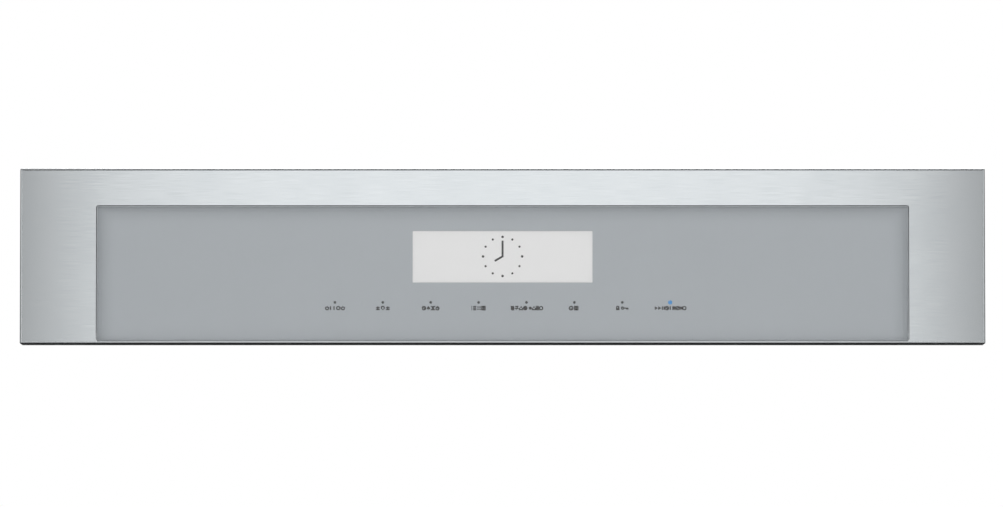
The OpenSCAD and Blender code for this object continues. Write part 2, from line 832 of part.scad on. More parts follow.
module light_pipe(x) {
    pin(x, dot_z, pipe_r(x), film_y1, touch_y0 - led_t - part_gap);
}

module light_pipes() {
    color("#3c4043") for (x = key_xs) if (x != start_x) light_pipe(x);
}

module start_light_pipe() {
    color("#2a93d4") light_pipe(start_x);
}

module indicator_leds() {
    color("#e8e4d4") for (x = key_xs)
        block([x - led_w / 2, touch_y0 - led_t, dot_z - led_h / 2],
            [x + led_w / 2, touch_y0, dot_z + led_h / 2]);
}

touch_chip_shares = [[-0.36, 0.1], [0.12, 0.1], [0.44, -0.1], [-0.12, -0.2]];
touch_chip_sizes = [[7, 1.2, 7], [7, 1.2, 7], [5, 1.4, 4], [3.2, 1, 2.5]];

module touch_chips() {
    color("#26272a") for (i = [0 : len(touch_chip_sizes) - 1])
        chip([0, pad_z], [touch_w / 2, touch_h / 2], touch_chip_shares[i], touch_chip_sizes[i], touch_y1);
}

module touch_screws() {
    color("#8f9396") for (x = touch_screw_xs)
        screw(x, pad_z, touch_y1, touch_t + bite - part_gap);
}

// Board tray: a moulded pan with a low inner wall for the cables, posts, vents, ears and
// two snap hooks over the board's upper edge
claw_z = tray_z + tray_h / 2 - tray_t;

module tray() {
    difference() {
        union() {
            difference() {
                plate(tray_x, tray_z, tray_w, tray_h, tray_r, rib_y1, tray_y1);
                plate(tray_x, tray_z, tray_w - 2 * tray_t, tray_h - 2 * tray_t, tray_r - tray_t,
                    tray_floor, tray_y1 + cut);
            }
            for (s = ear_shares, d = [-1, 1]) {
                z = tray_z + s * tray_h / 2;
                x = tray_x + d * (ear_reach + tray_w / 2 - tray_t) / 2;
                half = (ear_reach - tray_w / 2 + tray_t) / 2;
                pin(tray_x + d * ear_reach, z, ear_r, rib_y1, tray_floor);
                block([x - half, rib_y1, z - ear_r], [x + half, tray_floor, z + ear_r]);
            }
            for (p = pcb_screw_places) pin(p.x, p.y, boss_r, rib_y1, pcb_y0);
            for (s = claw_shares)
                block([tray_x + s * tray_w - claw_w / 2, pcb_y1 + part_gap, claw_z - claw_nose],
                    [tray_x + s * tray_w + claw_w / 2, pcb_y1 + part_gap + claw_t, claw_z + tray_t / 2]);
        }
        for (s = claw_shares, d = [-1, 1])
            block([tray_x + s * tray_w + d * (claw_w + claw_slit) / 2 - claw_slit / 2,
                tray_floor + claw_t, claw_z - cut],
                [tray_x + s * tray_w + d * (claw_w + claw_slit) / 2 + claw_slit / 2,
                tray_y1 + cut, claw_z + tray_t + cut]);
        for (s = ear_shares, d = [-1, 1])
            pin(tray_x + d * ear_reach, tray_z + s * tray_h / 2, screw_r + screw_gap,
                rib_y1 - cut, tray_floor + cut);
        for (p = pcb_screw_places) pilot(p.x, p.y, pcb_y0);
        for (i = [1 : vent_count])
            plate(tray_x0 + i * tray_w / (vent_count + 1) + tray_t * 2, tray_z, vent_w,
                vent_share * tray_h, vent_w / 2 - end_flat, rib_y1 - cut, tray_floor + cut);
        block([tray_x0 - cut, pcb_y1 - part_gap, tray_z - tray_h / 2 + tray_r],
            [tray_x0 + tray_r, tray_y1 + cut, tray_z + tray_h / 2 - tray_r]);
    }
}

// Places of a board's screws: the lower inner one stands clear of the touch socket
pcb_screw_places = [
    [tray_x - pcb_screw_x, tray_z + pcb_screw_z],
    [tray_x - pcb_screw_x + socket_room, tray_z - pcb_screw_z],
    [tray_x + pcb_screw_x, tray_z + pcb_screw_z],
    [tray_x + pcb_screw_x, tray_z - pcb_screw_z]];

module tray_board() {
    difference() {
        plate(tray_x, tray_z, pcb_w, pcb_h, pcb_r, pcb_y0, pcb_y1);
        for (p = pcb_screw_places) pin(p.x, p.y, screw_r + screw_gap, pcb_y0 - cut, pcb_y1 + cut);
    }
}

// Places on the right tray's board, as shares of its half size
function spot(share) = [tray_x + share.x * pcb_w / 2, tray_z + share.y * pcb_h / 2];

module on_board(share, size) {
    chip([tray_x, tray_z], [pcb_w / 2, pcb_h / 2], share, size, pcb_y1);
}

module control_tray() {
    color("#2b2c2f") tray();
}

module control_board() {
    color("#1f5b3a") tray_board();
}

// The supply tray and its board are the mirror image of the control tray and its board
module supply_tray() {
    color("#2b2c2f") mirror([1, 0, 0]) tray();
}

module supply_board() {
    color("#2f6b46") mirror([1, 0, 0]) tray_board();
}

// Transformer: a laminated core with a wound coil round its middle limb
core_size = [30, 10, 26];
coil_size = [17, 13.6, 15];
core_share = [-0.42, -0.42];
core_window_share = 0.19;
bobbin_t = 1.1;
bobbin_rise = 2.4;

module transformer() {
    p = spot(core_share);
    gap = core_size.x * core_window_share;
    y = pcb_y1 + (coil_size.y - core_size.y) / 2;
    color("#6f5a3c") mirror([1, 0, 0]) {
        difference() {
            translate([p.x - core_size.x / 2, y, p.y - core_size.z / 2]) cube(core_size);
            for (d = [-1, 1])
                translate([p.x + d * (coil_size.x / 2 + gap / 4), y + core_size.y / 2, p.y])
                    cube([gap, core_size.y + 2 * cut, coil_size.z + part_gap], center = true);
        }
        plate(p.x, p.y, coil_size.x, coil_size.z, gap / 2, pcb_y1, pcb_y1 + coil_size.y);
        for (d = [-1, 1])
            translate([p.x, y + core_size.y / 2, p.y + d * (coil_size.z - bobbin_t) / 2])
                cube([coil_size.x + gap, core_size.y + bobbin_rise, bobbin_t], center = true);
    }
}

relay_size = [15.2, 12.4, 10.2];
relay_r = 0.8;
relay_shares = [[0.56, 0.72], [0.56, 0.42], [0.56, 0.12]];

module relays() {
    color("#2d4f86") mirror([1, 0, 0]) for (s = relay_shares)
        plate(spot(s).x, spot(s).y, relay_size.x, relay_size.z, relay_r, pcb_y1, pcb_y1 + relay_size.y);
}

// Capacitors: cans with a crimped groove near the board and a sunken top
capacitor_r = 5;
capacitor_h = 12.6;
groove_r = 0.5;
capacitor_shares = [[0.1, -0.1], [0.1, -0.42], [0.3, -0.72]];

module capacitors() {
    color("#20242c") mirror([1, 0, 0]) for (s = capacitor_shares)
        translate([spot(s).x, pcb_y1, spot(s).y]) rotate([-90, 0, 0]) difference() {
            cylinder(h = capacitor_h, r = capacitor_r);
            translate([0, 0, capacitor_h - groove_r]) cylinder(h = 2 * groove_r, r = capacitor_r * 0.8);
            translate([0, 0, capacitor_h * 0.16]) rotate_extrude()
                translate([capacitor_r, 0]) circle(groove_r, $fn = 24);
        }
}

// Film capacitor: a moulded box across the mains
film_size = [18, 11.5, 6];
film_share = [-0.3, 0.86];

module film_capacitor() {
    p = spot(film_share);
    color("#c9a43a") mirror([1, 0, 0])
        plate(p.x, p.y, film_size.x, film_size.z, relay_r, pcb_y1, pcb_y1 + film_size.y);
}

// Line choke: a ring core bedded in a round base, with turns of wire about it
choke_r = 6.4;
choke_wire = 3.1;
choke_base_r = 8;
choke_turns = 12;
turn_r = 0.45;
choke_share = [0.12, 0.42];

module line_choke() {
    p = spot(choke_share);
    color("#7a4a2a") mirror([1, 0, 0]) {
        pin(p.x, p.y, choke_base_r, pcb_y1, pcb_y1 + choke_wire);
        translate([p.x, pcb_y1 + 1.6 * choke_wire, p.y]) rotate([90, 0, 0]) {
            rotate_extrude() translate([choke_r, 0]) circle(choke_wire, $fn = 24);
            for (i = [0 : choke_turns - 1])
                rotate([0, 0, i * 360 / choke_turns]) translate([choke_r, 0, 0]) rotate([90, 0, 0])
                    cylinder(h = 2 * turn_r, r = choke_wire + turn_r, center = true);
        }
    }
}

// Fuse: a glass tube with end caps in two spring clips
fuse_r = 2.5;
fuse_l = 20;
fuse_cap = 5;
fuse_rise = 4.4;
fuse_share = [0.73, -0.32];

module fuse() {
    p = spot(fuse_share);
    color("#c9c6b8") mirror([1, 0, 0]) {
        translate([p.x, pcb_y1 + fuse_rise, p.y - fuse_l / 2]) {
            cylinder(h = fuse_l, r = fuse_r);
            for (z = [0, fuse_l - fuse_cap])
                translate([0, 0, z]) cylinder(h = fuse_cap, r = fuse_r + 2 * pin_gap);
        }
        for (d = [-1, 1]) difference() {
            z = p.y + d * (fuse_l - fuse_cap) / 2;
            block([p.x - fuse_r - fuse_cap / 8, pcb_y1, z - fuse_cap / 4],
                [p.x + fuse_r + fuse_cap / 8, pcb_y1 + fuse_rise + fuse_r, z + fuse_cap / 4]);
            block([p.x - fuse_r, pcb_y1 + fuse_rise, z - fuse_cap],
                [p.x + fuse_r, pcb_y1 + fuse_rise + 2 * fuse_r, z + fuse_cap]);
        }
    }
}

// Heatsink: a back plate with upright fins
sink_w = 26;
sink_h = 22;
sink_d = 13;
sink_plate = 2;
fin_count = 7;
fin_t = 1.2;
sink_share = [-0.56, 0.42];

module heatsink() {
    p = spot(sink_share);
    x0 = p.x - sink_w / 2;
    z0 = p.y - sink_h / 2;
    color("#3b3d40") mirror([1, 0, 0]) {
        block([x0, pcb_y1, z0], [x0 + sink_w, pcb_y1 + sink_plate, z0 + sink_h]);
        for (i = [0 : fin_count - 1]) {
            x = x0 + i * (sink_w - fin_t) / (fin_count - 1);
            block([x, pcb_y1, z0], [x + fin_t, pcb_y1 + sink_d, z0 + sink_h]);
        }
    }
}

// An open shrouded socket with its pins, mouth to the back, centred on a board place
module inlet(p, w, h, d, wall, pins, pin_w, pin_l) {
    difference() {
        block([p.x - w / 2, pcb_y1, p.y - h / 2], [p.x + w / 2, pcb_y1 + d, p.y + h / 2]);
        block([p.x - w / 2 + wall, pcb_y1 + wall, p.y - h / 2 + wall],
            [p.x + w / 2 - wall, pcb_y1 + d + cut, p.y + h / 2 - wall]);
    }
    for (i = [0 : pins - 1]) {
        x = p.x + (i - (pins - 1) / 2) * (w - 2 * wall) / pins;
        block([x - pin_w / 2, pcb_y1, p.y - pin_w / 2],
            [x + pin_w / 2, pcb_y1 + wall + pin_l, p.y + pin_w / 2]);
    }
}

power_w = 22;
power_h = 12;
power_d = 13;
inlet_wall = 1.4;
power_pins = 3;
power_pin_w = 1.2;
power_pin_l = 5;
power_share = [0.7, -0.84];

module power_inlet() {
    color("#d8d4c4") mirror([1, 0, 0])
        inlet(spot(power_share), power_w, power_h, power_d, inlet_wall, power_pins, power_pin_w, power_pin_l);
}

bus_w = 18;
bus_h = 9;
bus_d = 11;
bus_pins = 5;
bus_pin_w = 0.7;
bus_pin_l = 4.2;
bus_share = [0.7, -0.84];

module bus_inlet() {
    color("#e3dfd2")
        inlet(spot(bus_share), bus_w, bus_h, bus_d, inlet_wall, bus_pins, bus_pin_w, bus_pin_l);
}

// Processor: the body over its frame of leads
processor_w = 20;
processor_h = 1.6;
lead_reach = 1.4;
lead_t = 0.3;
lead_w = 0.6;
lead_count = 10;
processor_share = [-0.06, 0.2];

module processor() {
    p = spot(processor_share);
    color("#1d1e20") {
        plate(p.x, p.y, processor_w, processor_w, lead_w, pcb_y1 + lead_t / 2, pcb_y1 + processor_h);
        for (a = [0 : 90 : 270]) translate([p.x, 0, p.y]) rotate([0, a, 0])
            for (i = [0 : lead_count - 1]) {
                z = (i - (lead_count - 1) / 2) * processor_w / (lead_count + 1);
                block([processor_w / 2 - lead_w, pcb_y1, z - lead_w / 2],
                    [processor_w / 2 + lead_reach, pcb_y1 + lead_t, z + lead_w / 2]);
            }
    }
}

// Chips of the control board: memory, radio shield, driver, coil, crystal, regulator
control_chip_shares = [[0.26, 0.28], [0.62, 0.62], [0.3, -0.16], [0.62, 0.06], [-0.1, 0.66], [0.1, -0.5]];
control_chip_sizes = [[14, 1.3, 9], [26, 3.2, 18], [9, 1.5, 9], [10, 5, 10], [11, 3.4, 4.6], [7, 2.4, 9]];

module control_chips() {
    color("#303236") for (i = [0 : len(control_chip_sizes) - 1])
        on_board(control_chip_shares[i], control_chip_sizes[i]);
}

buzzer_r = 6.5;
buzzer_h = 8;
buzzer_hole_r = 1.3;
buzzer_share = [0.3, -0.78];

module buzzer() {
    p = spot(buzzer_share);
    color("#1a1a1c") difference() {
        pin(p.x, p.y, buzzer_r, pcb_y1, pcb_y1 + buzzer_h);
        pin(p.x, p.y, buzzer_hole_r, pcb_y1 + buzzer_h / 2, pcb_y1 + buzzer_h + cut);
    }
}

// Ribbon sockets: low housings whose flap latches turn on pins in their end walls
module ribbon_socket(z, w) {
    half = w / 2 + socket_wall + flap_gap;
    difference() {
        block([socket_x, pcb_y1, z - half], [socket_x + socket_d, pcb_y1 + socket_h, z + half]);
        block([socket_x - cut, pcb_y1 + mouth_rise, z - w / 2 - pin_gap],
            [socket_x + mouth_l, pcb_y1 + mouth_rise + mouth_h, z + w / 2 + pin_gap]);
        block([socket_x - cut, pcb_y1 + flap_rise - flap_gap, z - w / 2 - flap_gap],
            [heel_x + flap_t / 2 + flap_gap, pcb_y1 + socket_h + cut, z + w / 2 + flap_gap]);
        translate([heel_x, heel_y, z - half - cut]) cylinder(h = 2 * (half + cut), r = trunnion_r + pin_gap, $fn = 24);
    }
}

module ribbon_sockets() {
    color("#e9e5d8") {
        ribbon_socket(display_z, display_ribbon_w);
        ribbon_socket(pad_z, touch_ribbon_w);
    }
}

module latch(z, w) {
    color("#4a2f22") {
        block([socket_x, heel_y - flap_t / 2, z - w / 2], [heel_x, heel_y + flap_t / 2, z + w / 2]);
        translate([heel_x, heel_y, z - w / 2]) cylinder(h = w, r = flap_t / 2, $fn = 24);
        translate([heel_x, heel_y, z - w / 2 - trunnion_l])
            cylinder(h = w + 2 * trunnion_l, r = trunnion_r, $fn = 24);
    }
}

module display_latch() {
    latch(display_z, display_ribbon_w);
}

module touch_latch() {
    latch(pad_z, touch_ribbon_w);
}

module tray_screws() {
    color("#8f9396") both_sides() for (s = ear_shares, d = [-1, 1])
        screw(tray_x + d * ear_reach, tray_z + s * tray_h / 2, tray_floor, tray_t + bite - part_gap);
}

module board_screws() {
    color("#8f9396") both_sides() for (p = pcb_screw_places)
        screw(p.x, p.y, pcb_y1, pcb_t + bite - part_gap);
}

// A flat cable: flat where it is soldered, a smooth rise, and flat again in its socket
module ribbon(x0, x1, x2, x3, y0, y1, z, w) {
    rise = [for (i = [0 : ribbon_steps])
        [x1 + (x2 - x1) * i / ribbon_steps, y0 + (y1 - y0) * (1 - cos(180 * i / ribbon_steps)) / 2]];
    path = concat([[x0, y0]], rise, [[x3, y1]]);
    back = [for (i = [len(path) - 1 : -1 : 0]) path[i] + [0, ribbon_t]];
    translate([0, 0, z - w / 2]) linear_extrude(w) polygon(concat(path, back));
}

module display_ribbon() {
    color("#e6e7e4") ribbon(board_w / 2 - solder_l, board_w / 2 + solder_l / 3, tray_x0 - tray_t,
        socket_x + mouth_l - part_gap, board_y1, ribbon_y, display_z, display_ribbon_w);
}

module touch_ribbon() {
    x = touch_screw_x - touch_run;
    color("#e6e7e4") ribbon(x - solder_l, x, tray_x0 - tray_t, socket_x + mouth_l - part_gap,
        touch_y1, ribbon_y, pad_z, touch_ribbon_w);
}

// The display's tail leaves its frame below the clamp, turns under the display board and
// lies flat on the board's back
tail_w = 24;
tail_t = 0.2;
tail_steps = 12;
tail_start = 2.3;
tail_dip = 3.3;
tail_seat = 5.5;

function beside(p, d) = [for (i = [0 : len(p) - 1])
    let (h = heading(p, i)) p[i] + d * [-h.y, h.x]];
function reversed(p) = [for (i = [len(p) - 1 : -1 : 0]) p[i]];

module display_tail() {
    z0 = display_z - can_h / 2 + tail_start;
    z1 = display_z - board_h / 2;
    y1 = board_y1 + tail_t / 2;
    knots = [[can_y1 + tail_t, z0], [clamp_y1, z0], [y1, z1 - tail_dip], [y1, z1 - tail_t]];
    turn = [for (i = [0 : tail_steps]) let (s = i / tail_steps, r = 1 - s)
        r * r * r * knots[0] + 3 * r * r * s * knots[1] + 3 * r * s * s * knots[2] + s * s * s * knots[3]];
    path = concat([[can_y1, z0]], turn, [[y1, z1 + tail_seat]]);
    color("#b5762a") along_x(-tail_w / 2, tail_w / 2)
        polygon(concat(beside(path, tail_t / 2), reversed(beside(path, -tail_t / 2))));
}

module link_headers() {
    color("#e3dfd2") both_sides()
        block([header_x, pcb_y1, header_z - header_h / 2],
            [header_x + header_w, pcb_y1 + header_d, header_z + header_h / 2]);
}

// A round cable swept along points that lie in one upright plane across the width
function unit(v) = v / norm(v);
function heading(p, i) = unit(p[min(i + 1, len(p) - 1)] - p[max(i - 1, 0)]);

module cable(p, r) {
    n = cable_sides;
    side = [0, 1, 0];
    rings = [for (i = [0 : len(p) - 1], k = [0 : n - 1])
        p[i] + r * (cos(360 * k / n) * side + sin(360 * k / n) * cross(side, heading(p, i)))];
    ends = [[for (k = [0 : n - 1]) k], [for (k = [n - 1 : -1 : 0]) (len(p) - 1) * n + k]];
    walls = [for (i = [0 : len(p) - 2], k = [0 : n - 1])
        [i * n + k, (i + 1) * n + k, (i + 1) * n + (k + 1) % n, i * n + (k + 1) % n]];
    polyhedron(points = rings, faces = concat(ends, walls));
}

// The link cable runs from header to header through three clips and sags between them
cable_end = header_x - 2 * pin_gap;
stations = [-cable_end, -clip_share * header_x, 0, clip_share * header_x, cable_end];

module link_cable() {
    spans = [for (j = [0 : len(stations) - 2], i = [0 : cable_steps - 1])
        let (s = i / cable_steps, a = stations[j], b = stations[j + 1])
        [a + (b - a) * s, cable_y, cable_z - cable_sag * (1 - cos(360 * s)) / 2]];
    color("#3a3c3f") cable(concat(spans, [[cable_end, cable_y, cable_z]]), cable_r);
}

// Earth: a ring terminal under a screw in the left bracket's web, its lead, and the
// terminal on the supply board that the lead ends in
ring_x = web_x - bracket_t;
crimp_w = 4;
crimp_x = ring_x - ring_t - lead_r;
crimp_z = lead_z - ring_l;
flag_x = tray_x1 - tray_t - pcb_room - 2 * crimp_w;

module earth_terminals() {
    color("#c9ccce") mirror([1, 0, 0]) {
        difference() {
            union() {
                translate([ring_x - ring_t, lead_y, lead_z]) rotate([0, 90, 0]) cylinder(h = ring_t, r = ring_r);
                block([ring_x - ring_t, lead_y - crimp_w / 2, crimp_z], [ring_x, lead_y + crimp_w / 2, lead_z]);
                block([crimp_x - crimp_w / 2, lead_y - crimp_w / 2, crimp_z], [ring_x, lead_y + crimp_w / 2, crimp_z + crimp_w]);
            }
            translate([ring_x - ring_t - cut, lead_y, lead_z]) rotate([0, 90, 0])
                cylinder(h = ring_t + 2 * cut, r = ring_hole_r);
        }
        block([flag_x, pcb_y1, lead_end_z - crimp_w / 2],
            [flag_x + crimp_w, lead_y + crimp_w / 2, lead_end_z + crimp_w / 2]);
    }
}

// The lead drops from the crimp, turns by a quarter circle and runs to the board
lead_drop = 3;
lead_end_z = crimp_z - lead_drop - lead_bend;

module earth_lead() {
    bend_steps = 6;
    turn = [for (i = [0 : bend_steps]) let (a = 90 * i / bend_steps)
        [crimp_x - lead_bend * (1 - cos(a)), lead_y, crimp_z - lead_drop - lead_bend * sin(a)]];
    color("#5f9a3c") mirror([1, 0, 0])
        cable(concat([[crimp_x, lead_y, crimp_z]], turn, [[flag_x + crimp_w, lead_y, lead_end_z]]), lead_r);
}

module earth_screw() {
    color("#b9a15a") mirror([1, 0, 0]) translate([ring_x - ring_t, lead_y, lead_z]) {
        rotate([0, 90, 0]) cylinder(h = ring_t + bracket_t + nut_h + thread_end, r = earth_screw_r);
        rotate([0, -90, 0]) cylinder(h = head_h, r = ring_r * 0.85);
        translate([ring_t + bracket_t, 0, 0]) rotate([0, 90, 0]) difference() {
            cylinder(h = nut_h, r = nut_af / sqrt(3), $fn = 6);
            translate([0, 0, -cut]) cylinder(h = nut_h + 2 * cut, r = earth_screw_r / 2);
        }
    }
}

fascia();
weld_studs();
left_bracket();
right_bracket();
stud_nuts();
top_rail();
air_baffle();
rail_screws();
outlet_grille();
top_seal();
glass_panel();
decor_film();
bonding_tape();
glass_carrier();
display_gasket();
lcd_panel();
backlight();
display_frame();
display_clamp();
clamp_screws();
board_pillars();
display_board();
display_chips();
pillar_screws();
touch_board();
touch_pads();
light_pipes();
start_light_pipe();
indicator_leds();
touch_chips();
touch_screws();
supply_tray();
supply_board();
transformer();
relays();
capacitors();
line_choke();
fuse();
heatsink();
power_inlet();
control_tray();
control_board();
processor();
control_chips();
buzzer();
bus_inlet();
ribbon_sockets();
display_latch();
touch_latch();
tray_screws();
board_screws();
display_ribbon();
touch_ribbon();
link_headers();
link_cable();
earth_terminals();
earth_lead();
earth_screw();
film_capacitor();
display_tail();
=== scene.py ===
import json

import bpy
import numpy as np
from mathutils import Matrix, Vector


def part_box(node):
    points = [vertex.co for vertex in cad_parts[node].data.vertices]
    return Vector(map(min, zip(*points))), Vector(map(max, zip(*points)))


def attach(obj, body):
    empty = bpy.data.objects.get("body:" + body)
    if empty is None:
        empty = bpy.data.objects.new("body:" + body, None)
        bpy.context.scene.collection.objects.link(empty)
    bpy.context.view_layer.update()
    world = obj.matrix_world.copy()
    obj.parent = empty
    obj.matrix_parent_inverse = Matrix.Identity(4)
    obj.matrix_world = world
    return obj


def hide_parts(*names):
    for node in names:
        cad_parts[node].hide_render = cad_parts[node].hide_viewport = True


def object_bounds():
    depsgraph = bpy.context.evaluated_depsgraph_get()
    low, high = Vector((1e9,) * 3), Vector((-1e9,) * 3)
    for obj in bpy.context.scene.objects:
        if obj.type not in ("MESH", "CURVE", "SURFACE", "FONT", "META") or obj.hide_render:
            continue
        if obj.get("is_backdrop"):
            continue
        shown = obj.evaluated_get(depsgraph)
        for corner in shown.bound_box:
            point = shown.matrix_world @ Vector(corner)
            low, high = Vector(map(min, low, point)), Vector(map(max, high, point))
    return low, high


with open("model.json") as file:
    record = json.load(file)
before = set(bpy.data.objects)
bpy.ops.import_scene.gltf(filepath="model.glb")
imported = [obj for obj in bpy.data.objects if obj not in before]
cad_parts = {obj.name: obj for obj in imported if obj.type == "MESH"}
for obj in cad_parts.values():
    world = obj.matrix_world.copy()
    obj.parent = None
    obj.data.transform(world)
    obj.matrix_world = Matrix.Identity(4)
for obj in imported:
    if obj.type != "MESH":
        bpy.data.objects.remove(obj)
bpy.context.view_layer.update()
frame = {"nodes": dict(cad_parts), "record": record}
nodes = frame["nodes"]
mm = 0.001
studio = bpy.context.scene
print("frame: ready with", len(nodes), "pieces")


# Shared helpers for finishes and meshes

def linearLight(hexCode):  # an sRGB hex colour as linear light
    shares = np.array([int(hexCode[i:i + 2], 16) for i in (1, 3, 5)]) / 255
    light = np.where(shares <= 0.04045, shares / 12.92, ((shares + 0.055) / 1.055) ** 2.4)
    return (*light.tolist(), 1.0)


def addNode(tree, kind, feeds=None, **settings):  # one node with its settings, values and links
    made = tree.nodes.new("ShaderNode" + kind)
    for key, value in settings.items():
        setattr(made, key, value)
    for key, value in (feeds or {}).items():
        if isinstance(value, bpy.types.NodeSocket):
            tree.links.new(value, made.inputs[key])
        else:
            made.inputs[key].default_value = value
    return made


def bareMaterial(name):  # a new material and its empty node tree
    material = bpy.data.materials.new(name)
    material.use_nodes = True
    material.node_tree.nodes.clear()
    return material, material.node_tree


def makeFinish(name, look):
    # Fine grain and broad patches, both sized in millimetres, set the tone. The tone runs from one
    # colour to the other and from one roughness to the other, and the grain alone lifts the surface.
    material, tree = bareMaterial(name)
    where = addNode(tree, "TexCoord").outputs["Object"]
    scale = [1 / (size * mm) for size in look["grain"]]
    placed = addNode(tree, "Mapping", {"Vector": where, "Scale": scale}).outputs[0]
    grain = addNode(tree, "TexNoise", {"Vector": placed, "Scale": 1.0, "Detail": 4.0}).outputs[0]
    broad = {"Vector": where, "Scale": 1 / (look["patch"] * mm)}
    if look.get("crystals"):  # flat patches with sharp borders, each with its own tone
        cells = addNode(tree, "TexVoronoi", broad).outputs["Color"]
        patch = addNode(tree, "SeparateColor", {0: cells}).outputs[0]
    else:
        patch = addNode(tree, "TexNoise", broad).outputs[0]
    tone = addNode(tree, "Mix", {0: look["patchShare"], 2: grain, 3: patch}).outputs[0]
    steps = {0: tone, 1: 0.3, 2: 0.7}  # noise seldom leaves this range
    spread = addNode(tree, "MapRange", steps).outputs[0]
    ends = {0: spread, 6: linearLight(look["colour"]), 7: linearLight(look["tint"])}
    colour = addNode(tree, "Mix", ends, data_type="RGBA").outputs[2]
    low, high = look["roughness"]
    rough = addNode(tree, "MapRange", {**steps, 3: low, 4: high}).outputs[0]
    feeds = {"Base Color": colour, "Roughness": rough, **look.get("sockets", {})}
    if look["relief"]:
        bump = addNode(tree, "Bump", {"Height": grain, "Distance": look["relief"] * mm})
        feeds["Normal"] = bump.outputs[0]
    shader = addNode(tree, "BsdfPrincipled", feeds)
    addNode(tree, "OutputMaterial", {"Surface": shader.outputs[0]})
    return {"material": material, "tree": tree, "where": where, "shader": shader}


def inlay(finish, mask, colour, roughness, metallic=None):
    # Where the mask is 1, another colour, roughness and metal share lie over what is there
    tree, shader = finish["tree"], finish["shader"]
    under = shader.inputs["Base Color"].links[0].from_socket
    mixed = addNode(tree, "Mix", {0: mask, 6: under, 7: linearLight(colour)}, data_type="RGBA")
    tree.links.new(mixed.outputs[2], shader.inputs["Base Color"])
    rough = shader.inputs["Roughness"].links[0].from_socket
    mixed = addNode(tree, "Mix", {0: mask, 2: rough, 3: roughness})
    tree.links.new(mixed.outputs[0], shader.inputs["Roughness"])
    if metallic is not None:
        socket = shader.inputs["Metallic"]
        under = socket.links[0].from_socket if socket.is_linked else socket.default_value
        mixed = addNode(tree, "Mix", {0: mask, 2: under, 3: metallic})
        tree.links.new(mixed.outputs[0], socket)


def inBox(finish, low, high):  # 1 inside the box between two corners in metres, 0 outside
    tree, low, high = finish["tree"], np.array(low), np.array(high)
    away = addNode(tree, "VectorMath", {0: finish["where"], 1: (low + high) / 2}, operation="SUBTRACT")
    away = addNode(tree, "VectorMath", {0: away.outputs[0]}, operation="ABSOLUTE")
    room = addNode(tree, "VectorMath", {0: (high - low) / 2, 1: away.outputs[0]}, operation="SUBTRACT")
    parts = addNode(tree, "SeparateXYZ", {0: room.outputs[0]}).outputs
    least = addNode(tree, "Math", {0: parts[0], 1: parts[1]}, operation="MINIMUM").outputs[0]
    least = addNode(tree, "Math", {0: least, 1: parts[2]}, operation="MINIMUM").outputs[0]
    return addNode(tree, "Math", {0: least, 1: 0.0}, operation="GREATER_THAN").outputs[0]


def inStripe(finish, axis, pitch, share):  # 1 on even stripes across one axis, in millimetres
    tree = finish["tree"]
    along = addNode(tree, "SeparateXYZ", {0: finish["where"]}).outputs[axis]
    turns = {0: along, 1: 1 / (pitch * mm)}
    turns = addNode(tree, "Math", turns, operation="MULTIPLY").outputs[0]
    part = addNode(tree, "Math", {0: turns}, operation="FRACT").outputs[0]
    return addNode(tree, "Math", {0: part, 1: share}, operation="LESS_THAN").outputs[0]


def markBox(finish, low, high, paint):  # paint is a colour, a roughness and at times a metal share
    inlay(finish, inBox(finish, low, high), *paint)


def carried(path, side, up, profile, loop=False):
    # point(i, k) = path(i) + profile(k).x * side(i) + profile(k).y * up(i). Rings are joined by
    # four-sided faces, and the two ends are closed unless the path returns to its start.
    side, up = np.broadcast_to(side, path.shape), np.broadcast_to(up, path.shape)
    rings = path[:, None] + profile[None, :, :1] * side[:, None] + profile[None, :, 1:] * up[:, None]
    count, m = rings.shape[:2]
    i = np.arange(count if loop else count - 1)[:, None]
    k = np.arange(m)[None]
    after, other = (i + 1) % count, (k + 1) % m
    faces = np.stack([i * m + k, i * m + other, after * m + other, after * m + k], -1)
    faces = faces.reshape(-1, 4).tolist()
    if not loop:
        faces += [list(range(m))[::-1], list(range((count - 1) * m, count * m))]
    return rings.reshape(-1, 3), faces


def circlePoints(radius, count):  # radius * (cos a, sin a) for even angles a
    angle = np.arange(count) * 2 * np.pi / count
    return radius * np.stack([np.cos(angle), np.sin(angle)], -1)


def barPoints(width, height, base=0.0):  # the four corners of a bar's section, standing on base
    return np.array([[-width / 2, base], [width / 2, base],
                     [width / 2, base + height], [-width / 2, base + height]])


def putPiece(name, parts, finish, smooth=False, second=None, picks=None):
    # Joins (points, faces) pairs in metres into one mesh that rides on the fixed body. Where
    # picks says 1 for a part, that part takes the second finish.
    starts = np.cumsum([0] + [len(points) for points, _ in parts[:-1]])
    points = np.concatenate([points for points, _ in parts])
    faces = [[v + start for v in face] for start, (_, some) in zip(starts, parts) for face in some]
    mesh = bpy.data.meshes.new(name)
    mesh.from_pydata(points.tolist(), [], faces)
    mesh.materials.append(finish["material"])
    if second:
        mesh.materials.append(second["material"])
        shares = [len(some) for _, some in parts]
        mesh.polygons.foreach_set("material_index", np.repeat(picks, shares).tolist())
    mesh.polygons.foreach_set("use_smooth", [smooth] * len(faces))
    mesh.update()
    piece = bpy.data.objects.new(name, mesh)
    studio.collection.objects.link(piece)
    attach(piece, "root")
    return piece


def boxOf(name):  # a piece's lowest and highest corners as two rows, in metres
    return np.array(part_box(name))


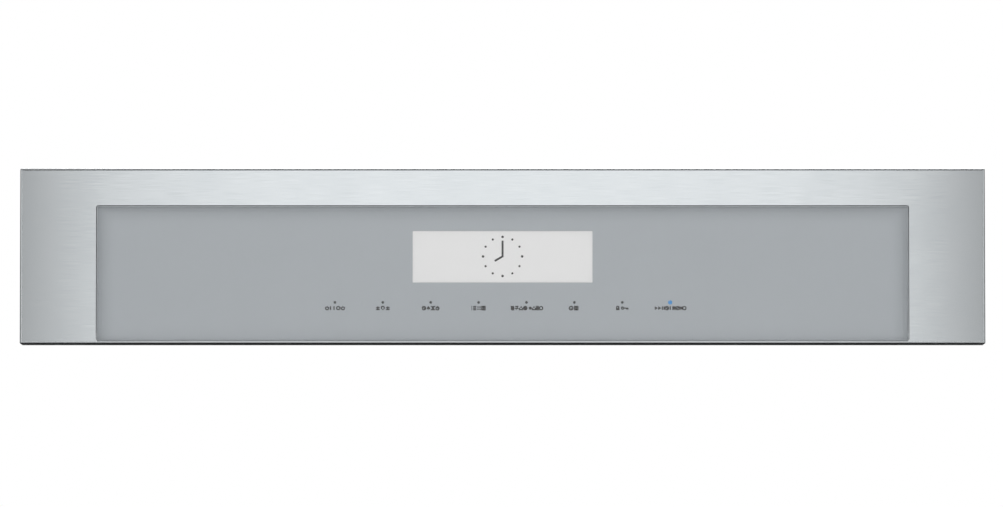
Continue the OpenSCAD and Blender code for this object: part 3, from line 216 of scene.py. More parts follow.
def solidBoxes(name):
    # Lowest and highest corners of each solid of a carried-over piece. Joined points take the
    # least label among them, over and over, until no label changes.
    mesh = nodes[name].data
    points = np.empty(len(mesh.vertices) * 3)
    mesh.vertices.foreach_get("co", points)
    points = points.reshape(-1, 3)
    _, same = np.unique(np.round(points / mm, 3), axis=0, return_inverse=True)
    edges = np.empty(len(mesh.edges) * 2, int)
    mesh.edges.foreach_get("vertices", edges)
    edges = same.ravel()[edges].reshape(-1, 2)
    labels = np.arange(same.max() + 1)
    while True:
        least = np.minimum(labels[edges[:, 0]], labels[edges[:, 1]])
        fresh = labels.copy()
        np.minimum.at(fresh, edges.ravel(), np.repeat(least, 2))
        fresh = fresh[fresh]
        if (fresh == labels).all():
            break
        labels = fresh
    owner = labels[same.ravel()]
    return [(points[owner == one].min(0), points[owner == one].max(0)) for one in np.unique(owner)]


# Camera: level with the panel's lower edge, looking up a little from far away
shot = {
    "distance": 6.0,
    "degreesBelow": 3.4,
    "aimMm": (-0.83, -14.0, 70.79),
    "lens": 275.15,
}
aim = np.array(shot["aimMm"]) * mm
tilt = np.radians(shot["degreesBelow"])
camera = bpy.data.objects.new("camera", bpy.data.cameras.new("camera"))
studio.collection.objects.link(camera)
camera.location = aim + shot["distance"] * np.array([0, -np.cos(tilt), -np.sin(tilt)])
camera.rotation_euler = (np.pi / 2 + tilt, 0, 0)
camera.data.lens = shot["lens"]
camera.data.clip_start = 0.1
camera.data.clip_end = 100
studio.camera = camera
studio.view_settings.view_transform = "Standard"
print("camera: set")


# Studio: a white surround, a pale floor, two soft lamps and a softbox that only reflections see.
# Places and sizes are in metres.
light = {
    "surround": 0.62,
    "target": (0, 0, 0.07),
    "frontLamp": {"watts": 11.8, "size": (1.8, 1.0), "place": (0, -1.95, 0.42)},
    "backLamp": {"watts": 22.0, "size": (1.6, 0.8), "place": (0.35, 1.5, 1.3)},
    "softbox": 1.27,
    "softboxHalf": 0.415,
    "softboxFade": 0.05,
    "softboxTop": 0.58,
    "softboxTopFade": 0.12,
    "softboxFront": -0.95,
    "border": 0.12,
    "borderHalf": 0.7,
    "borderTop": 1.3,
    "blackFlag": 0.03,
    "greyFlag": 0.25,
    "floorZ": -0.3,
    "floorReach": 60,
    "floorLift": 0.6,
}
world = bpy.data.worlds.new("whiteSurround")
world.use_nodes = True
tree = world.node_tree
tree.nodes.clear()
rays = addNode(tree, "LightPath").outputs
seen = {0: rays["Is Camera Ray"], 1: rays["Is Glossy Ray"]}
seen = addNode(tree, "Math", seen, operation="MAXIMUM").outputs[0]
seen = {0: seen, 1: rays["Is Transmission Ray"]}
seen = addNode(tree, "Math", seen, operation="MAXIMUM").outputs[0]
level = addNode(tree, "MapRange", {0: seen, 3: light["surround"], 4: 1.0}).outputs[0]
sky = addNode(tree, "Background", {"Color": (1, 1, 1, 1), "Strength": level})
addNode(tree, "OutputWorld", {"Surface": sky.outputs[0]})
studio.world = world


def putLamp(name):
    look = light[name]
    lamp = bpy.data.objects.new(name, bpy.data.lights.new(name, "AREA"))
    studio.collection.objects.link(lamp)
    lamp.data.shape = "RECTANGLE"
    lamp.data.size, lamp.data.size_y = look["size"]
    lamp.data.energy = look["watts"]
    lamp.location = look["place"]
    away = np.array(look["place"]) - light["target"]
    lamp.rotation_euler = (np.arctan2(np.hypot(*away[:2]), away[2]), 0,
                           np.arctan2(away[1], away[0]) + np.pi / 2)
    lamp.visible_camera = False
    return lamp


putLamp("frontLamp").visible_glossy = False
putLamp("backLamp")


def putSheet(name, low, high, finish):  # a flat rectangle between two corners, part of the studio
    corners = np.array([low, low, high, high], float)
    first = np.flatnonzero(corners[0] != corners[2])[0]
    corners[1, first], corners[3, first] = high[first], low[first]
    mesh = bpy.data.meshes.new(name)
    mesh.from_pydata(corners.tolist(), [], [[0, 1, 2, 3]])
    mesh.materials.append(finish)
    sheet = bpy.data.objects.new(name, mesh)
    studio.collection.objects.link(sheet)
    sheet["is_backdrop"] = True
    return sheet


# Studio floor rolled with matt paint: pale and even
floorPaint = makeFinish("palePaintedFloor", {
    "colour": "#F1F1F0", "tint": "#EDEDEC", "grain": (40, 40, 40), "patch": 400, "patchShare": 0.5,
    "roughness": (0.75, 0.85), "relief": 0, "sockets": {"Specular IOR Level": 0.2},
})
# To the camera alone the floor is paler and more even than the lamps leave it
tree, painted = floorPaint["tree"], floorPaint["shader"].outputs[0]
share = addNode(tree, "LightPath").outputs["Is Camera Ray"]
share = addNode(tree, "Math", {0: share, 1: light["floorLift"]}, operation="MULTIPLY").outputs[0]
pale = addNode(tree, "Emission", {"Color": linearLight("#F3F3F2"), "Strength": 1.0}).outputs[0]
lifted = addNode(tree, "MixShader", {0: share, 1: painted, 2: pale}).outputs[0]
addNode(tree, "OutputMaterial", {"Surface": lifted}, is_active_output=True)
reach, floorZ = light["floorReach"], light["floorZ"]
putSheet("floor", (-reach, -reach, floorZ), (reach, reach, floorZ), floorPaint["material"])

# The softbox is bright in the middle and has a dark border, and flags stand below, behind, above
# and beside the panel, so that its bends show as dark lines. Only reflections see them.
softbox, tree = bareMaterial("borderedSoftbox")
place = addNode(tree, "SeparateXYZ", {0: addNode(tree, "TexCoord").outputs["Object"]}).outputs
across = addNode(tree, "Math", {0: place[0]}, operation="ABSOLUTE").outputs[0]
half, fade = light["softboxHalf"], light["softboxFade"]
edge = {0: across, 1: half - fade, 2: half + fade, 3: light["softbox"], 4: light["border"]}
edge = addNode(tree, "MapRange", edge, interpolation_type="SMOOTHSTEP").outputs[0]
top, fade = light["softboxTop"], light["softboxTopFade"]
rise = {0: place[2], 1: top - fade, 2: top + fade, 3: 1.0, 4: light["border"]}
rise = addNode(tree, "MapRange", rise, interpolation_type="SMOOTHSTEP").outputs[0]
edge = addNode(tree, "Math", {0: edge, 1: rise}, operation="MULTIPLY").outputs[0]
glow = addNode(tree, "Emission", {"Color": (1, 1, 1, 1), "Strength": edge})
addNode(tree, "OutputMaterial", {"Surface": glow.outputs[0]})


def flagFinish(name):
    flag, tree = bareMaterial(name)
    glow = addNode(tree, "Emission", {"Color": (1, 1, 1, 1), "Strength": light[name]})
    addNode(tree, "OutputMaterial", {"Surface": glow.outputs[0]})
    return flag


half, front, top = light["borderHalf"], light["softboxFront"], light["borderTop"]
black, grey = flagFinish("blackFlag"), flagFinish("greyFlag")
cards = (  # the softbox and the flags, each between two corners
    ("softbox", (-half, front, -top), (half, front, top), softbox),
    ("lowFlag", (-0.5, -0.25, -0.29), (0.5, 1.5, -0.29), black),
    ("rearFlag", (-0.5, 1.5, -0.29), (0.5, 1.5, -0.01), black),
    ("topFlag", (-0.5, -0.62, 0.75), (0.5, 0.2, 0.75), grey),
    ("sideFlag", (-0.95, -0.3, -0.08), (-0.95, 0.8, 0.28), grey),
    ("sideFlag", (0.95, -0.3, -0.08), (0.95, 0.8, 0.28), grey),
)
for name, low, high, finish in cards:
    card = putSheet(name, low, high, finish)
    card.visible_camera = card.visible_diffuse = False
    card.visible_shadow = card.visible_transmission = False
print("studio: lit")


# Finishes of the carried-over pieces, by the record's material slot
metal = {"Metallic": 1.0}
looks = {
    # Ferritic stainless sheet, belt-ground along its length: long fine lines, soft sheen
    "stainless": ("brushedStainless", {
        "colour": "#D1D5D7", "tint": "#C7CCCF", "grain": (22, 0.35, 0.35), "patch": 30,
        "patchShare": 0.2, "roughness": (0.2, 0.27), "relief": 0.0012, "sockets": metal}),
    # Hot-dip galvanised sheet: zinc crystals, each at its own angle to the light
    "galvanised": ("galvanisedSheet", {
        "colour": "#AEB3B5", "tint": "#BFC4C6", "grain": (0.5, 0.5, 0.5), "patch": 2.6,
        "patchShare": 0.55, "crystals": True, "roughness": (0.34, 0.44), "relief": 0.002,
        "sockets": metal}),
    # Bright zinc plating: faintly clouded, with fine turning marks
    "zinc": ("zincPlatedSteel", {
        "colour": "#A9AEB0", "tint": "#C9CCCB", "grain": (0.25, 0.25, 0.25), "patch": 2,
        "patchShare": 0.5, "roughness": (0.26, 0.4), "relief": 0.004, "sockets": metal}),
    # Tin-plated sheet: bright, with slight rolling marks
    "tinned_steel": ("tinPlatedSteel", {
        "colour": "#B9BCBD", "tint": "#D2D4D3", "grain": (6, 0.3, 0.3), "patch": 9,
        "patchShare": 0.5, "roughness": (0.2, 0.32), "relief": 0.001, "sockets": metal}),
    # Turned brass rod: yellow, with fine rings
    "brass": ("turnedBrass", {
        "colour": "#B9964F", "tint": "#D1B06A", "grain": (2, 0.15, 2), "patch": 3,
        "patchShare": 0.4, "roughness": (0.24, 0.34), "relief": 0.002, "sockets": metal}),
    # Black anodised extrusion: matt, with drawing lines along the fins
    "black_aluminium": ("blackAnodisedAluminium", {
        "colour": "#2A2C2F", "tint": "#383B3E", "grain": (0.3, 0.3, 9), "patch": 6,
        "patchShare": 0.3, "roughness": (0.42, 0.55), "relief": 0.004,
        "sockets": {"Metallic": 0.6}}),
    # Varnished core: thin steel sheets, one on the other
    "laminated_core": ("varnishedLaminations", {
        "colour": "#4A3F31", "tint": "#5F5240", "grain": (1.5, 1.5, 1.5), "patch": 4,
        "patchShare": 0.5, "roughness": (0.3, 0.5), "relief": 0.01,
        "sockets": {"Metallic": 0.35, "Coat Weight": 0.3}}),
    # Glass-filled nylon moulded against an eroded tool: black, matt and finely pitted
    "black_plastic": ("mouldedBlackNylon", {
        "colour": "#1E1F22", "tint": "#2A2B2E", "grain": (0.28, 0.28, 0.28), "patch": 14,
        "patchShare": 0.35, "roughness": (0.44, 0.6), "relief": 0.02, "sockets": {"IOR": 1.53}}),
    # Epoxy moulding compound of chips: near black, dull and grainy
    "chip_black": ("epoxyMouldCompound", {
        "colour": "#1B1B1D", "tint": "#29292B", "grain": (0.16, 0.16, 0.16), "patch": 5,
        "patchShare": 0.3, "roughness": (0.5, 0.66), "relief": 0.012, "sockets": {"IOR": 1.55}}),
    # White polycarbonate: the light guide's housing and the lamps' bodies
    "white_plastic": ("mouldedWhitePolycarbonate", {
        "colour": "#EDEDE9", "tint": "#E3E3DE", "grain": (0.4, 0.4, 0.4), "patch": 8,
        "patchShare": 0.5, "roughness": (0.3, 0.4), "relief": 0.003, "sockets": {"IOR": 1.58}}),
    # Natural nylon of plug housings: warm white and slightly waxy
    "cream_nylon": ("naturalNylon", {
        "colour": "#E6E0CC", "tint": "#D8D1BA", "grain": (0.3, 0.3, 0.3), "patch": 5,
        "patchShare": 0.5, "roughness": (0.36, 0.48), "relief": 0.006,
        "sockets": {"IOR": 1.53, "Subsurface Weight": 0.05}}),
    # Dark brown polymer of the flat-cable latches
    "brown_latch": ("mouldedBrownPolymer", {
        "colour": "#4A2C1C", "tint": "#5A3826", "grain": (0.25, 0.25, 0.25), "patch": 3,
        "patchShare": 0.4, "roughness": (0.34, 0.46), "relief": 0.006, "sockets": {"IOR": 1.6}}),
    # Green solder mask over copper tracks on glass-epoxy board
    "board_green": ("solderMask", {
        "colour": "#174A30", "tint": "#1B5436", "grain": (0.5, 0.5, 0.5), "patch": 12,
        "patchShare": 0.6, "roughness": (0.2, 0.3), "relief": 0.003, "sockets": {"IOR": 1.5}}),
    # Blue thermoplastic relay covers: moulded, half gloss
    "relay_blue": ("mouldedBluePolyester", {
        "colour": "#1F4E96", "tint": "#265BA8", "grain": (0.3, 0.3, 0.3), "patch": 6,
        "patchShare": 0.5, "roughness": (0.26, 0.36), "relief": 0.005, "sockets": {"IOR": 1.57}}),
    # Film capacitor's moulded box: mustard yellow, half gloss
    "yellow_case": ("mouldedYellowPolyester", {
        "colour": "#D0A42C", "tint": "#DAB140", "grain": (0.3, 0.3, 0.3), "patch": 5,
        "patchShare": 0.5, "roughness": (0.3, 0.4), "relief": 0.006, "sockets": {"IOR": 1.57}}),
    # Polyimide film of the display's tail: amber and glossy, with copper lines showing through
    "amber_film": ("amberPolyimide", {
        "colour": "#B7702A", "tint": "#C37C34", "grain": (0.6, 0.6, 0.6), "patch": 6,
        "patchShare": 0.5, "roughness": (0.2, 0.3), "relief": 0.002, "sockets": {"IOR": 1.7}}),
    # Heat-shrunk sleeve: dark blue and glossy
    "sleeve_dark": ("shrinkSleeve", {
        "colour": "#171C2B", "tint": "#1E2537", "grain": (1.2, 0.4, 1.2), "patch": 4,
        "patchShare": 0.5, "roughness": (0.18, 0.3), "relief": 0.006, "sockets": {"IOR": 1.54}}),
    # Enamelled copper wire: red-brown with a clear varnish over the metal
    "copper_wire": ("enamelledCopper", {
        "colour": "#A4522B", "tint": "#BF6A3A", "grain": (0.5, 0.5, 0.5), "patch": 2.5,
        "patchShare": 0.4, "roughness": (0.26, 0.36), "relief": 0.002,
        "sockets": {"Metallic": 0.85, "Coat Weight": 0.5}}),
    # Grey enamel screen-printed behind the glass: even and smooth
    "grey_film": ("greyScreenPrint", {
        "colour": "#ABB1B6", "tint": "#ADB3B8", "grain": (0.5, 0.5, 0.5), "patch": 60,
        "patchShare": 0.7, "roughness": (0.5, 0.56), "relief": 0.0005,
        "sockets": {"Specular IOR Level": 0.2}}),
    # Acrylic foam tape seen through clear glass: a slightly darker, duller grey
    "grey_tape": ("acrylicFoamTape", {
        "colour": "#9CA2A7", "tint": "#A2A8AD", "grain": (0.35, 0.35, 0.35), "patch": 20,
        "patchShare": 0.5, "roughness": (0.6, 0.75), "relief": 0.01,
        "sockets": {"Specular IOR Level": 0.2}}),
    # Flat cable of laminated polyester: white, satin
    "ribbon_white": ("laminatedPolyester", {
        "colour": "#E9EAE7", "tint": "#DFE0DC", "grain": (0.8, 0.8, 0.4), "patch": 9,
        "patchShare": 0.5, "roughness": (0.28, 0.38), "relief": 0.003, "sockets": {"IOR": 1.6}}),
    # Smoked acrylic light pipes, unlit
    "smoked_pipe": ("smokedAcrylic", {
        "colour": "#1F2224", "tint": "#26292B", "grain": (0.5, 0.5, 0.5), "patch": 3,
        "patchShare": 0.5, "roughness": (0.12, 0.2), "relief": 0, "sockets": {"IOR": 1.49}}),
    # Acrylic light pipe lit from behind by a blue lamp
    "blue_pipe": ("litBlueAcrylic", {
        "colour": "#0A70AC", "tint": "#1078B4", "grain": (0.5, 0.5, 0.5), "patch": 3,
        "patchShare": 0.5, "roughness": (0.12, 0.2), "relief": 0,
        "sockets": {"IOR": 1.49, "Emission Color": linearLight("#0A90DC"), "Emission Strength": 0.22}}),
    # Closed-cell rubber foam: soft black, finely pored
    "foam_rubber": ("closedCellFoam", {
        "colour": "#202123", "tint": "#2C2D2F", "grain": (0.5, 0.5, 0.5), "patch": 10,
        "patchShare": 0.2, "roughness": (0.75, 0.9), "relief": 0.04, "sockets": {"IOR": 1.4}}),
    # Carbon-loaded foam of the touch pads: dark grey with open pores
    "conductive_foam": ("carbonLoadedFoam", {
        "colour": "#303236", "tint": "#404246", "grain": (0.4, 0.4, 0.4), "patch": 5,
        "patchShare": 0.2, "roughness": (0.8, 0.92), "relief": 0.04, "sockets": {"IOR": 1.4}}),
    # Soft vinyl sheath of the link cable
    "cable_black": ("vinylSheath", {
        "colour": "#28292B", "tint": "#323335", "grain": (4, 0.5, 0.5), "patch": 12,
        "patchShare": 0.4, "roughness": (0.38, 0.5), "relief": 0.006, "sockets": {"IOR": 1.54}}),
    # Green and yellow vinyl of an earth lead
    "earth_green": ("greenYellowVinyl", {
        "colour": "#2F8A3C", "tint": "#358F42", "grain": (0.8, 0.8, 0.8), "patch": 6,
        "patchShare": 0.5, "roughness": (0.32, 0.42), "relief": 0.003, "sockets": {"IOR": 1.54}}),
    # Small glass fuse: clear tube, with its metal ends and clips laid over it below
    "fuse_glass": ("fuseTube", {
        "colour": "#C5CAC8", "tint": "#D3D7D5", "grain": (1, 1, 4), "patch": 4,
        "patchShare": 0.5, "roughness": (0.06, 0.12), "relief": 0, "sockets": {"IOR": 1.52}}),
    # Liquid-crystal face lit from behind: even pale grey
    "display_glass": ("litDisplayFace", {
        "colour": "#BDBDBD", "tint": "#BEBEBE", "grain": (0.3, 0.3, 0.3), "patch": 40,
        "patchShare": 0.7, "roughness": (0.3, 0.34), "relief": 0,
        "sockets": {"Specular IOR Level": 0.3, "Emission Color": (1, 1, 1, 1),
                    "Emission Strength": 0.285}}),
}
finishes = {slotName: makeFinish(name, look) for slotName, (name, look) in looks.items()}


# Toughened float glass: clear to sight and lamps, and mirroring more towards grazing angles by
# base + (1 - base) * (1 - cosine) ** 5
glassLook = {"base": 0.042, "tint": "#FCFCFC", "roughness": 0.015}
pane, tree = bareMaterial("toughenedFloatGlass")
facing = addNode(tree, "LayerWeight", {"Blend": 0.5}).outputs["Facing"]
steep = addNode(tree, "Math", {0: facing, 1: 5.0}, operation="POWER").outputs[0]
share = addNode(tree, "MapRange", {0: steep, 3: glassLook["base"], 4: 1.0}).outputs[0]
clear = addNode(tree, "BsdfTransparent", {"Color": linearLight(glassLook["tint"])}).outputs[0]
gloss = addNode(tree, "BsdfGlossy", {"Roughness": glassLook["roughness"]}).outputs[0]
surface = addNode(tree, "MixShader", {0: share, 1: clear, 2: gloss}).outputs[0]
addNode(tree, "OutputMaterial", {"Surface": surface})
finishes["panel_glass"] = {"material": pane}

for part in frame["record"]["subparts"]:
    nodes[part["node"]].material_slots[0].material = finishes[part["material_slot"]]["material"]
print("finishes: set on the carried-over pieces")


# Signs of the keys: closed strips of ink on the front of the grey print, just behind the glass
signLook = {"strokeMm": 0.95, "clearMm": 0.01, "rowMm": 28.2, "keyPitchMm": 37.5}
# Black enamel ink, screen-printed and baked: flat and matt
ink = makeFinish("screenPrintInk", {
    "colour": "#141515", "tint": "#191A1A", "grain": (0.2, 0.2, 0.2), "patch": 5, "patchShare": 0.5,
    "roughness": (0.5, 0.6), "relief": 0, "sockets": {"Specular IOR Level": 0.2}})
glassLow, glassHigh = boxOf("glass_panel") / mm
inkDepths = (glassHigh[1] + signLook["clearMm"], boxOf("decor_film")[0][1] / mm - signLook["clearMm"])


def arcOf(x, z, radius, start=0, end=360, count=24):  # degrees clockwise from straight up
    angle = np.radians(np.linspace(start, end, count, endpoint=end - start < 360))
    return np.stack([x + radius * np.sin(angle), z + radius * np.cos(angle)], -1)


def stroke(points, depths, width, loop=False, sharpest=0.4):
    # The strip's side at a corner is the normal of its mean direction, longer by
    # 1 / cos(half the turn), so that both edges keep their distance. At sharper corners than the
    # sharpest cosine allows, it grows no longer.
    points = np.array(points, float)
    ahead = np.roll(points, -1, 0) - points
    if not loop:
        ahead[-1] = ahead[-2]
    ahead /= np.linalg.norm(ahead, axis=1, keepdims=True)
    before = np.roll(ahead, 1, 0)
    if not loop:
        before[0] = ahead[0]
    mean = ahead + before
    mean /= np.linalg.norm(mean, axis=1, keepdims=True)
    reach = 1 / np.maximum((mean * ahead).sum(1, keepdims=True), sharpest)
    side = np.stack([mean[:, 1], np.zeros(len(mean)), -mean[:, 0]], -1) * reach
    path = np.stack([points[:, 0], np.full(len(points), depths[0]), points[:, 1]], -1)
    path, bar = path * mm, barPoints(width, depths[1] - depths[0]) * mm
    return carried(path, side, (0, 1, 0), bar, loop)


def filled(points, depths):  # a flat closed shape between two depths
    points = np.array(points, float)
    x, z = points.T
    if (x * np.roll(z, -1) - z * np.roll(x, -1)).sum() < 0:  # twice its area, below 0 if clockwise
        points = points[::-1]
    path = np.array([(0, depths[1], 0), (0, depths[0], 0)]) * mm
    return carried(path, (1, 0, 0), (0, 0, 1), points * mm)


def blockOf(x0, z0, x1, z1):
    return [(x0, z0), (x1, z0), (x1, z1), (x0, z1)]


def waveOf(lift):  # z = lift + 0.3 sin 4.8 x
    x = np.linspace(-1.3, 1.3, 11)
    return np.stack([x, lift + 0.3 * np.sin(4.8 * x)], -1)


def spokeOf(degrees):  # a line through the middle, clockwise from straight up
    tip = 1.2 * np.array([np.sin(np.radians(degrees)), np.cos(np.radians(degrees))])
    return [-tip, tip]


waves = [waveOf(lift) for lift in (-1.1, 0, 1.1)]
spokes = [spokeOf(turn) for turn in (0, 60, 120)]
signs = {  # open lines, closed lines and filled shapes in millimetres, about the sign's middle
    "bar": ([[(0, -1.5), (0, 1.5)]], [], []),
    "ring": ([], [arcOf(0, 0, 1.25)], []),
    "power": ([arcOf(0, 0, 1.25, 45, 315), [(0, 0.1), (0, 1.6)]], [], []),
    "bulb": ([arcOf(0, 0.35, 1.1, -145, 145)], [], [blockOf(-0.6, -1.6, 0.6, -0.8)]),
    "rays": ([[(-1.5, lift), (1.5, lift)] for lift in (-1.1, 0.35)], [], [blockOf(-0.5, -1.4, 0.5, 1.4)]),
    "clock": ([[(0, 0.9), (0, 0), (0.7, -0.4)]], [arcOf(0, 0, 1.3)], []),
    "bell": ([], [], [[(-1.5, -0.9), (1.5, -0.9), (0.9, 0.8), (0.4, 1.4), (-0.4, 1.4), (-0.9, 0.8)],
                      blockOf(-0.35, -1.6, 0.35, -1.1)]),
    "hourglass": ([], [[(-1.1, 1.2), (1.1, 1.2), (-1.1, -1.2), (1.1, -1.2)]], []),
    "stopwatch": ([[(0, 1.0), (0, 1.7)], [(0, -0.25), (0.5, 0.3)]], [arcOf(0, -0.25, 1.15)], []),
    "list": ([[(-0.7, lift), (1.8, lift)] for lift in (-1.25, 0, 1.25)], [],
             [arcOf(-1.8, lift, 0.45, count=12) for lift in (-1.25, 0, 1.25)]),
    "grid": ([], [], [blockOf(x, z, x + 1.1, z + 1.1) for x in (-1.3, 0.3) for z in (-1.4, 0.3)]),
    "waves": (waves, [], []),
    "grill": ([[(-1.3, 1.3), (1.3, 1.3)], [(-1.3, 0.3), (-0.5, -0.7), (0.4, 0.3), (1.2, -0.7)]], [], []),
    "tray": ([[(-1.2, 0.3), (-1.2, -1.2), (1.2, -1.2), (1.2, 0.3)], [(0, 0), (0, 1.5)]], [], []),
    "fan": (spokes, [arcOf(0, 0, 1.3)], []),
    "flake": (spokes, [], []),
    "info": ([[(0, -0.7), (0, 0.1)]], [arcOf(0, 0, 1.4)], [arcOf(0, 0.7, 0.32, count=12)]),
    "page": ([[(-0.7, lift), (0.7, lift)] for lift in (0.45, -0.45)],
             [blockOf(-1.3, -1.35, 1.3, 1.35)], []),
    "padlock": ([np.concatenate([[(-0.85, 0.1)], arcOf(0, 0.6, 0.85, -90, 90, 12), [(0.85, 0.1)]])], [],
                [blockOf(-1.4, -1.6, 1.4, 0.1)]),
    "key": ([[(-0.9, 0), (2.6, 0)], [(1.5, 0), (1.5, -1.1)], [(2.5, 0), (2.5, -1.1)]],
            [arcOf(-1.8, 0, 0.85, count=20)], []),
    "play": ([], [], [[(-1.1, -1.5), (1.4, 0), (-1.1, 1.5)]]),
    "pause": ([[(x, -1.4), (x, 1.4)] for x in (-0.7, 0.7)], [], []),
    "stop": ([], [], [blockOf(-1.3, -1.4, 1.3, 1.4)]),
    "barred": ([[(-0.8, -0.8), (0.8, 0.8)]], [arcOf(0, 0, 1.3)], []),
    "cross": ([[(-1.1, -1.2), (1.1, 1.2)], [(-1.1, 1.2), (1.1, -1.2)]], [], []),
}
signRows = (  # for each key, its signs and how far each stands from the key's middle
    (("power", -6.1), ("bar", -3.4), ("bar", -0.7), ("ring", 2.6), ("power", 6.2)),
    (("rays", -3.9), ("bulb", 0), ("rays", 3.9)),
    (("clock", -5.3), ("bell", -1.8), ("hourglass", 1.8), ("stopwatch", 5.3)),
    (("list", -3.6), ("grid", 0.3), ("page", 3.8)),
    (("waves", -10.9), ("grill", -7.6), ("tray", -4.3), ("fan", -1.0), ("flake", 2.9), ("tray", 5.8),
     ("waves", 8.6), ("ring", 11.4)),
    (("info", -2.6), ("page", 1.4)),
    (("padlock", -3.6), ("key", 2.0)),
    (("play", -11.0), ("play", -8.3), ("pause", -5.4), ("clock", -2.6), ("bar", 0), ("stop", 2.9),
     ("barred", 5.9), ("cross", 8.6), ("ring", 11.1)),
)
keyPlaces = (np.arange(len(signRows)) - (len(signRows) - 1) / 2) * signLook["keyPitchMm"]


def makeSigns():
    depths, width = inkDepths, signLook["strokeMm"]
    parts = []
    for keyPlace, row in zip(keyPlaces, signRows):
        for name, along in row:
            middle = np.array((keyPlace + along, signLook["rowMm"]))
            lines, loops, shapes = signs[name]
            parts += [stroke(middle + np.array(line), depths, width) for line in lines]
            parts += [stroke(middle + np.array(line), depths, width, True) for line in loops]
            parts += [filled(middle + np.array(shape), depths) for shape in shapes]
    return parts


putPiece("keySigns", makeSigns(), ink)


# Glass edge: ground to a matt bevelled band, with the foam tape swelling out behind it
edgeLook = {"groundMm": 0.45, "clearMm": 0.02, "cornerMm": 1.3, "leastCornerMm": 0.3,
            "swellMm": 0.9, "swellDepthMm": 0.8}
# Glass ground with a diamond wheel: pale grey and dull
ground = makeFinish("groundGlassEdge", {
    "colour": "#ABB0B4", "tint": "#B5BABE", "grain": (0.3, 0.3, 0.3), "patch": 3, "patchShare": 0.4,
    "roughness": (0.5, 0.6), "relief": 0, "sockets": {"Specular IOR Level": 0.3}})


def roundLoop(half, low, high, radius):  # a rectangle with round corners, clockwise
    corners = ((half, high, 0), (half, low, 90), (-half, low, 180), (-half, high, 270))
    return np.concatenate([arcOf(x - np.sign(x) * radius, z + (radius if z == low else -radius),
                                 radius, turn, turn + 90, 8) for x, z, turn in corners])


def edgeLoop(inset, depths, width, closed=True):  # open along the top unless it is closed
    radius = max(edgeLook["cornerMm"] - inset, edgeLook["leastCornerMm"])
    loop = roundLoop(glassHigh[0] - inset, glassLow[2] + inset, glassHigh[2] - inset, radius)
    return stroke(loop, depths, width, closed)


back, clear, wide = glassHigh[1], edgeLook["clearMm"], edgeLook["groundMm"]
band = edgeLoop(wide / 2 + clear, (glassLow[1] + clear, back - clear), wide)
putPiece("glassEdge", [band], ground)
depths = (back + clear, back + edgeLook["swellDepthMm"])
swell = edgeLoop(-clear, depths, edgeLook["swellMm"], closed=False)

# The tape itself goes up both sides and over the top, a hair behind the glass
tapeLook = {"insetMm": 0.44, "widthMm": 3.51, "clearMm": 0.01}
inset, wide = tapeLook["insetMm"], tapeLook["widthMm"]
side, top = glassHigh[0] - inset - wide / 2, glassHigh[2] - inset - wide / 2
foot, tapeBack = glassLow[2] + inset, boxOf("bonding_tape")[1][1] / mm
run = [(-side, foot), (-side, top), (side, top), (side, foot)]
tape = stroke(run, (back + tapeLook["clearMm"], tapeBack), wide)
tapePiece = putPiece("foamTape", [tape, swell], finishes["grey_tape"])
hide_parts("bonding_tape")

# A dark rim round each key's dot, and a blue one round the lit dot of the start key
rimLook = {"radiusMm": 0.9, "startRadiusMm": 1.5, "widthMm": 0.34}
dotRow, wide = boxOf("light_pipes")[:, 2].mean() / mm, rimLook["widthMm"]
rims = [arcOf(x, dotRow, rimLook["radiusMm"], count=20) for x in keyPlaces[:-1]]
putPiece("dotRims", [stroke(rim, inkDepths, wide, True) for rim in rims], ink)
startRim = stroke(arcOf(keyPlaces[-1], dotRow, rimLook["startRadiusMm"], count=28), inkDepths, wide, True)
putPiece("startDotRim", [startRim], finishes["blue_pipe"])


# Clock: darkened crystal, just in front of the display
clockLook = {
    "centreMm": (0.0, 68.8),
    "radiusMm": 15.33,
    "dotsMm": (1.0, 0.86),  # radius at the quarters and between them
    "hands": ((0, 11.75, 0.8), (240, 6.5, 0.76)),  # degrees, length and half width in millimetres
    "thickMm": 0.035,
    "clearMm": 0.01,
}
# Liquid crystal where the voltage turns it dark: an even near black
crystal = makeFinish("darkenedCrystal", {
    "colour": "#121212", "tint": "#161616", "grain": (0.2, 0.2, 0.2), "patch": 5, "patchShare": 0.5,
    "roughness": (0.3, 0.4), "relief": 0, "sockets": {"Specular IOR Level": 0.2}})


def makeClock():
    # Twelve dots round a circle, a minute hand at the hour and an hour hand at eight
    (x, z), ring = clockLook["centreMm"], clockLook["radiusMm"]
    back = boxOf("lcd_panel")[0][1] / mm - clockLook["clearMm"]
    depths, (quarter, plain) = (back - clockLook["thickMm"], back), clockLook["dotsMm"]
    parts = []
    for hour in range(12):
        a = np.radians(hour * 30)
        radius = plain if hour % 3 else quarter
        parts += [filled(arcOf(x + ring * np.sin(a), z + ring * np.cos(a), radius), depths)]
    for angle, reach, half in clockLook["hands"]:
        a = np.radians(angle)
        tip = np.array((x, z)) + reach * np.array((np.sin(a), np.cos(a)))
        outline = np.concatenate([arcOf(*tip, half, angle - 90, angle + 90, 10),
                                  arcOf(x, z, half, angle + 90, angle + 270, 10)])
        parts += [filled(outline, depths)]
    return parts


putPiece("clockFace", makeClock(), crystal)
print("front: signs and clock drawn")


